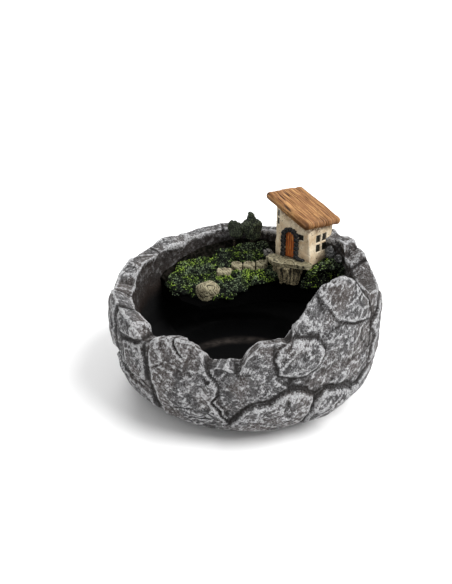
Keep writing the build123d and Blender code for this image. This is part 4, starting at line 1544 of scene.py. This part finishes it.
def roof_loops(rows=300, top=110, cap=12, under=46):
    """Rows across the slab; each row is a loop. Gives distances downhill, sideways and upward."""
    grow = 1.3 * mm
    w_low, w_high = corner_w[:2].mean(), corner_w[2:].mean()
    outer = 1.0 * mm * np.sign(w_high - w_low)
    w = np.linspace(w_low - outer, w_high + outer, rows)
    share = np.linspace(0, 1, rows)
    start = (1 - share) * (high_left @ downhill) + share * (high_back @ downhill)
    finish = (1 - share) * (low_front @ downhill) + share * (low_right @ downhill)
    half_thick = roof_thick * 0.60
    side_round = 2.6 * mm
    from_side = np.minimum(np.abs(w - w[0]), np.abs(w - w[-1])) + 0.02 * mm
    fullness = np.sqrt(1 - np.clip(1 - from_side / side_round, 0, 0.94) ** 2)[:, None]
    along_top = np.linspace(0, 1, top)
    bend = np.linspace(0, np.pi, cap + 2)[1:-1]
    u = np.concatenate([along_top, np.ones(cap), np.linspace(1, 0, under), np.zeros(cap)])[None, :]
    bulge = np.concatenate([np.zeros(top), np.sin(bend), np.zeros(under), -np.sin(bend)])[None, :]
    level = np.concatenate([np.ones(top), np.cos(bend), -np.ones(under), -np.cos(bend)])[None, :]
    w = w[:, None]
    s = (start[:, None] - grow) + (finish - start + 2 * grow)[:, None] * u
    s = s + bulge * half_thick * 0.9 * fullness + (0.5 - u) * 2 * half_thick * 0.7
    w = w + 0 * s
    ragged = stretched_noise(w, 0 * s, 2.2 * mm, 41) * 0.5 * mm
    s = s + ragged * (2 * u - 1)
    n_out = roof_top - half_thick + level * half_thick * fullness
    return s, w, n_out


def carved_roof():
    """Roof shape with how deeply each point is cut and its tone: height = sag - lines - splits."""
    strand_width, line_width = 2.3 * mm, 0.17
    s, w, n_out = roof_loops()
    grid = s[..., None] * downhill + w[..., None] * sideways + n_out[..., None] * roof_up
    wavy = w + stretched_noise(s, w, 14 * mm, 43) * 0.9 * mm
    phase = wavy / strand_width + 0.55 * stretched_noise(wavy / 3.0, s / 30, 1 * mm, 45)
    across = np.abs(phase % 1 - 0.5)
    fade = 0.55 + 0.45 * stretched_noise(wavy / 2.2, s / 9, 1 * mm, 46)
    line = np.exp(-((across / line_width) ** 2)) * fade
    own_tone = hash_numbers(np.floor(phase + 0.5), np.floor(s / (11 * mm)), 0 * s, 8)
    split = smooth_step(stretched_noise(wavy / 1.2, s / 12, 1 * mm, 47), 0.62, 0.85)
    fibre = stretched_noise(wavy / 0.8, s / 8, 1 * mm, 44)
    sag = soft_noise(np.stack([s, w, n_out], axis=-1), 9 * mm, 49) * 0.35 * mm
    height = sag - line * 0.50 * mm - split * 0.60 * mm + fibre * 0.12 * mm
    cut = np.clip(split + 0.95 * line, 0, 1)
    tone = np.clip(0.30 + 0.25 * own_tone + 0.30 * fibre, 0, 1)
    return grid + surface_normals(grid) * height[..., None], cut, tone


roof_shape, roof_cut, roof_tone = carved_roof()
carved_roof_slab = grid_piece("carved_roof_slab", roof_shape, {"cut": roof_cut, "tone": roof_tone})

# %% [markdown]
# Roof and door are the same carved wood in two colours. The group turns the tone and the cuts
# stored on the points into masks, and adds a fine speckle, and each material gives its colours.

# %% Group: wood grain, and the two painted woods
wood_grain, g, enter, leave = group_tree(
    "wood_grain",
    [("Vector", "Vector"), ("Tone", "Float"), ("Cut", "Float")],
    [("Height", "Float"), ("Light", "Float"), ("Dark", "Float")],
)
speckle = g.noise(enter["Vector"], 900.0, 4.0, 0.65)
cloudy = g.noise(enter["Vector"], 110.0, 2.0, 0.5)
lit = g.maths("MULTIPLY_ADD", speckle, 0.5, g.times(enter["Tone"], 0.8))
g.fill(leave["Light"], g.ramp(lit, 0.45, 0.95))
g.fill(leave["Dark"], g.maths("MAXIMUM", enter["Cut"], g.times(g.ramp(cloudy, 0.5, 0.75), 0.35)))
g.fill(leave["Height"], speckle)


def painted_wood(name, dark, base, light, tone_name, cut_name):
    """Material of painted carved wood: tone lights the ridges, cut darkens the grooves."""
    material, n, shader = new_material(name)
    grain = add_group(n, wood_grain, Vector=n.place(), Tone=n.read(tone_name), Cut=n.read(cut_name))
    body = n.blend(grain["Light"], base, light)
    body = n.paint(body, grain["Dark"], 0.92, dark)
    n.fill(shader.inputs["Base Color"], body)
    n.fill(shader.inputs["Roughness"], n.maths("MULTIPLY_ADD", grain["Height"], 0.3, 0.42))
    shader.inputs["Specular IOR Level"].default_value = 0.4
    bump(n, shader, grain["Height"], 0.5, 0.25 * mm)
    return material


roof_wood = painted_wood("roof_wood", (0.026, 0.009, 0.003), (0.225, 0.092, 0.026),
                         (0.52, 0.28, 0.10), "tone", "cut")
door_wood = painted_wood("door_wood", (0.030, 0.008, 0.003), (0.50, 0.125, 0.022),
                         (0.85, 0.36, 0.08), "grain", "groove")
finish_piece(carved_roof_slab, roof_wood, "cottage_roof")
finish_piece(plank_door_leaf, door_wood, "door_leaf")

# %% [markdown]
# ## Pieces that keep their CAD shape
# The window panes, the ground of the bank and the foam pad are already the right shape. They
# only get materials: smeared dark panes, black earth and fine foam.

# %% Panes, earth and foam
dark_pane, n, shader = new_material("dark_pane")
place = n.place()
smear = n.spots(place, 420.0, 0.40, 0.75)
n.fill(shader.inputs["Base Color"], n.blend(smear, (0.004, 0.004, 0.003), (0.040, 0.036, 0.022)))
n.fill(shader.inputs["Roughness"], n.maths("MULTIPLY_ADD", smear, 0.35, 0.30))
bump(n, shader, smear, 0.3, 0.2 * mm)

earth, n, shader = new_material("dark_ground")
place = n.place()
clods = add_group(n, stone_grain, Vector=place, Grain=420.0)
facing_way = n.axes(n.add("ShaderNodeNewGeometry").outputs["Normal"])
flat_ground = n.maths("GREATER_THAN", facing_way["Z"], 0.4)
behind_lip = n.ramp(n.axes(place)["Y"], 42 * mm, 52 * mm)
flat_ground = n.times(flat_ground, behind_lip)
soil = n.blend(clods["Flecks"], (0.003, 0.003, 0.002), (0.014, 0.012, 0.010))
n.fill(shader.inputs["Base Color"], n.blend(flat_ground, (0.0008, 0.0008, 0.0008), soil))
shader.inputs["Roughness"].default_value = 1.0
shader.inputs["Specular IOR Level"].default_value = 0.03
bump(n, shader, clods["Height"], 0.8, 1.0 * mm)

foam, n, shader = new_material("pad_foam")
place = n.place()
bubbles = n.add("ShaderNodeTexVoronoi", Vector=place, Scale=1400.0).outputs["Distance"]
rubber = n.blend(n.ramp(bubbles, 0.1, 0.7), (0.012, 0.012, 0.012), (0.035, 0.035, 0.036))
n.fill(shader.inputs["Base Color"], rubber)
shader.inputs["Roughness"].default_value = 0.95
bump(n, shader, bubbles, 0.7, 0.4 * mm)

for node, material in (("front_window_pane", dark_pane), ("side_window_panes", dark_pane),
                       ("end_window_panes", dark_pane), ("garden_bank", earth), ("base_pad", foam)):
    mesh = node_object(node).data
    if not mesh.materials:
        mesh.materials.append(material)
    for number in range(len(mesh.materials)):
        mesh.materials[number] = material
    print(node, "keeps its CAD shape")
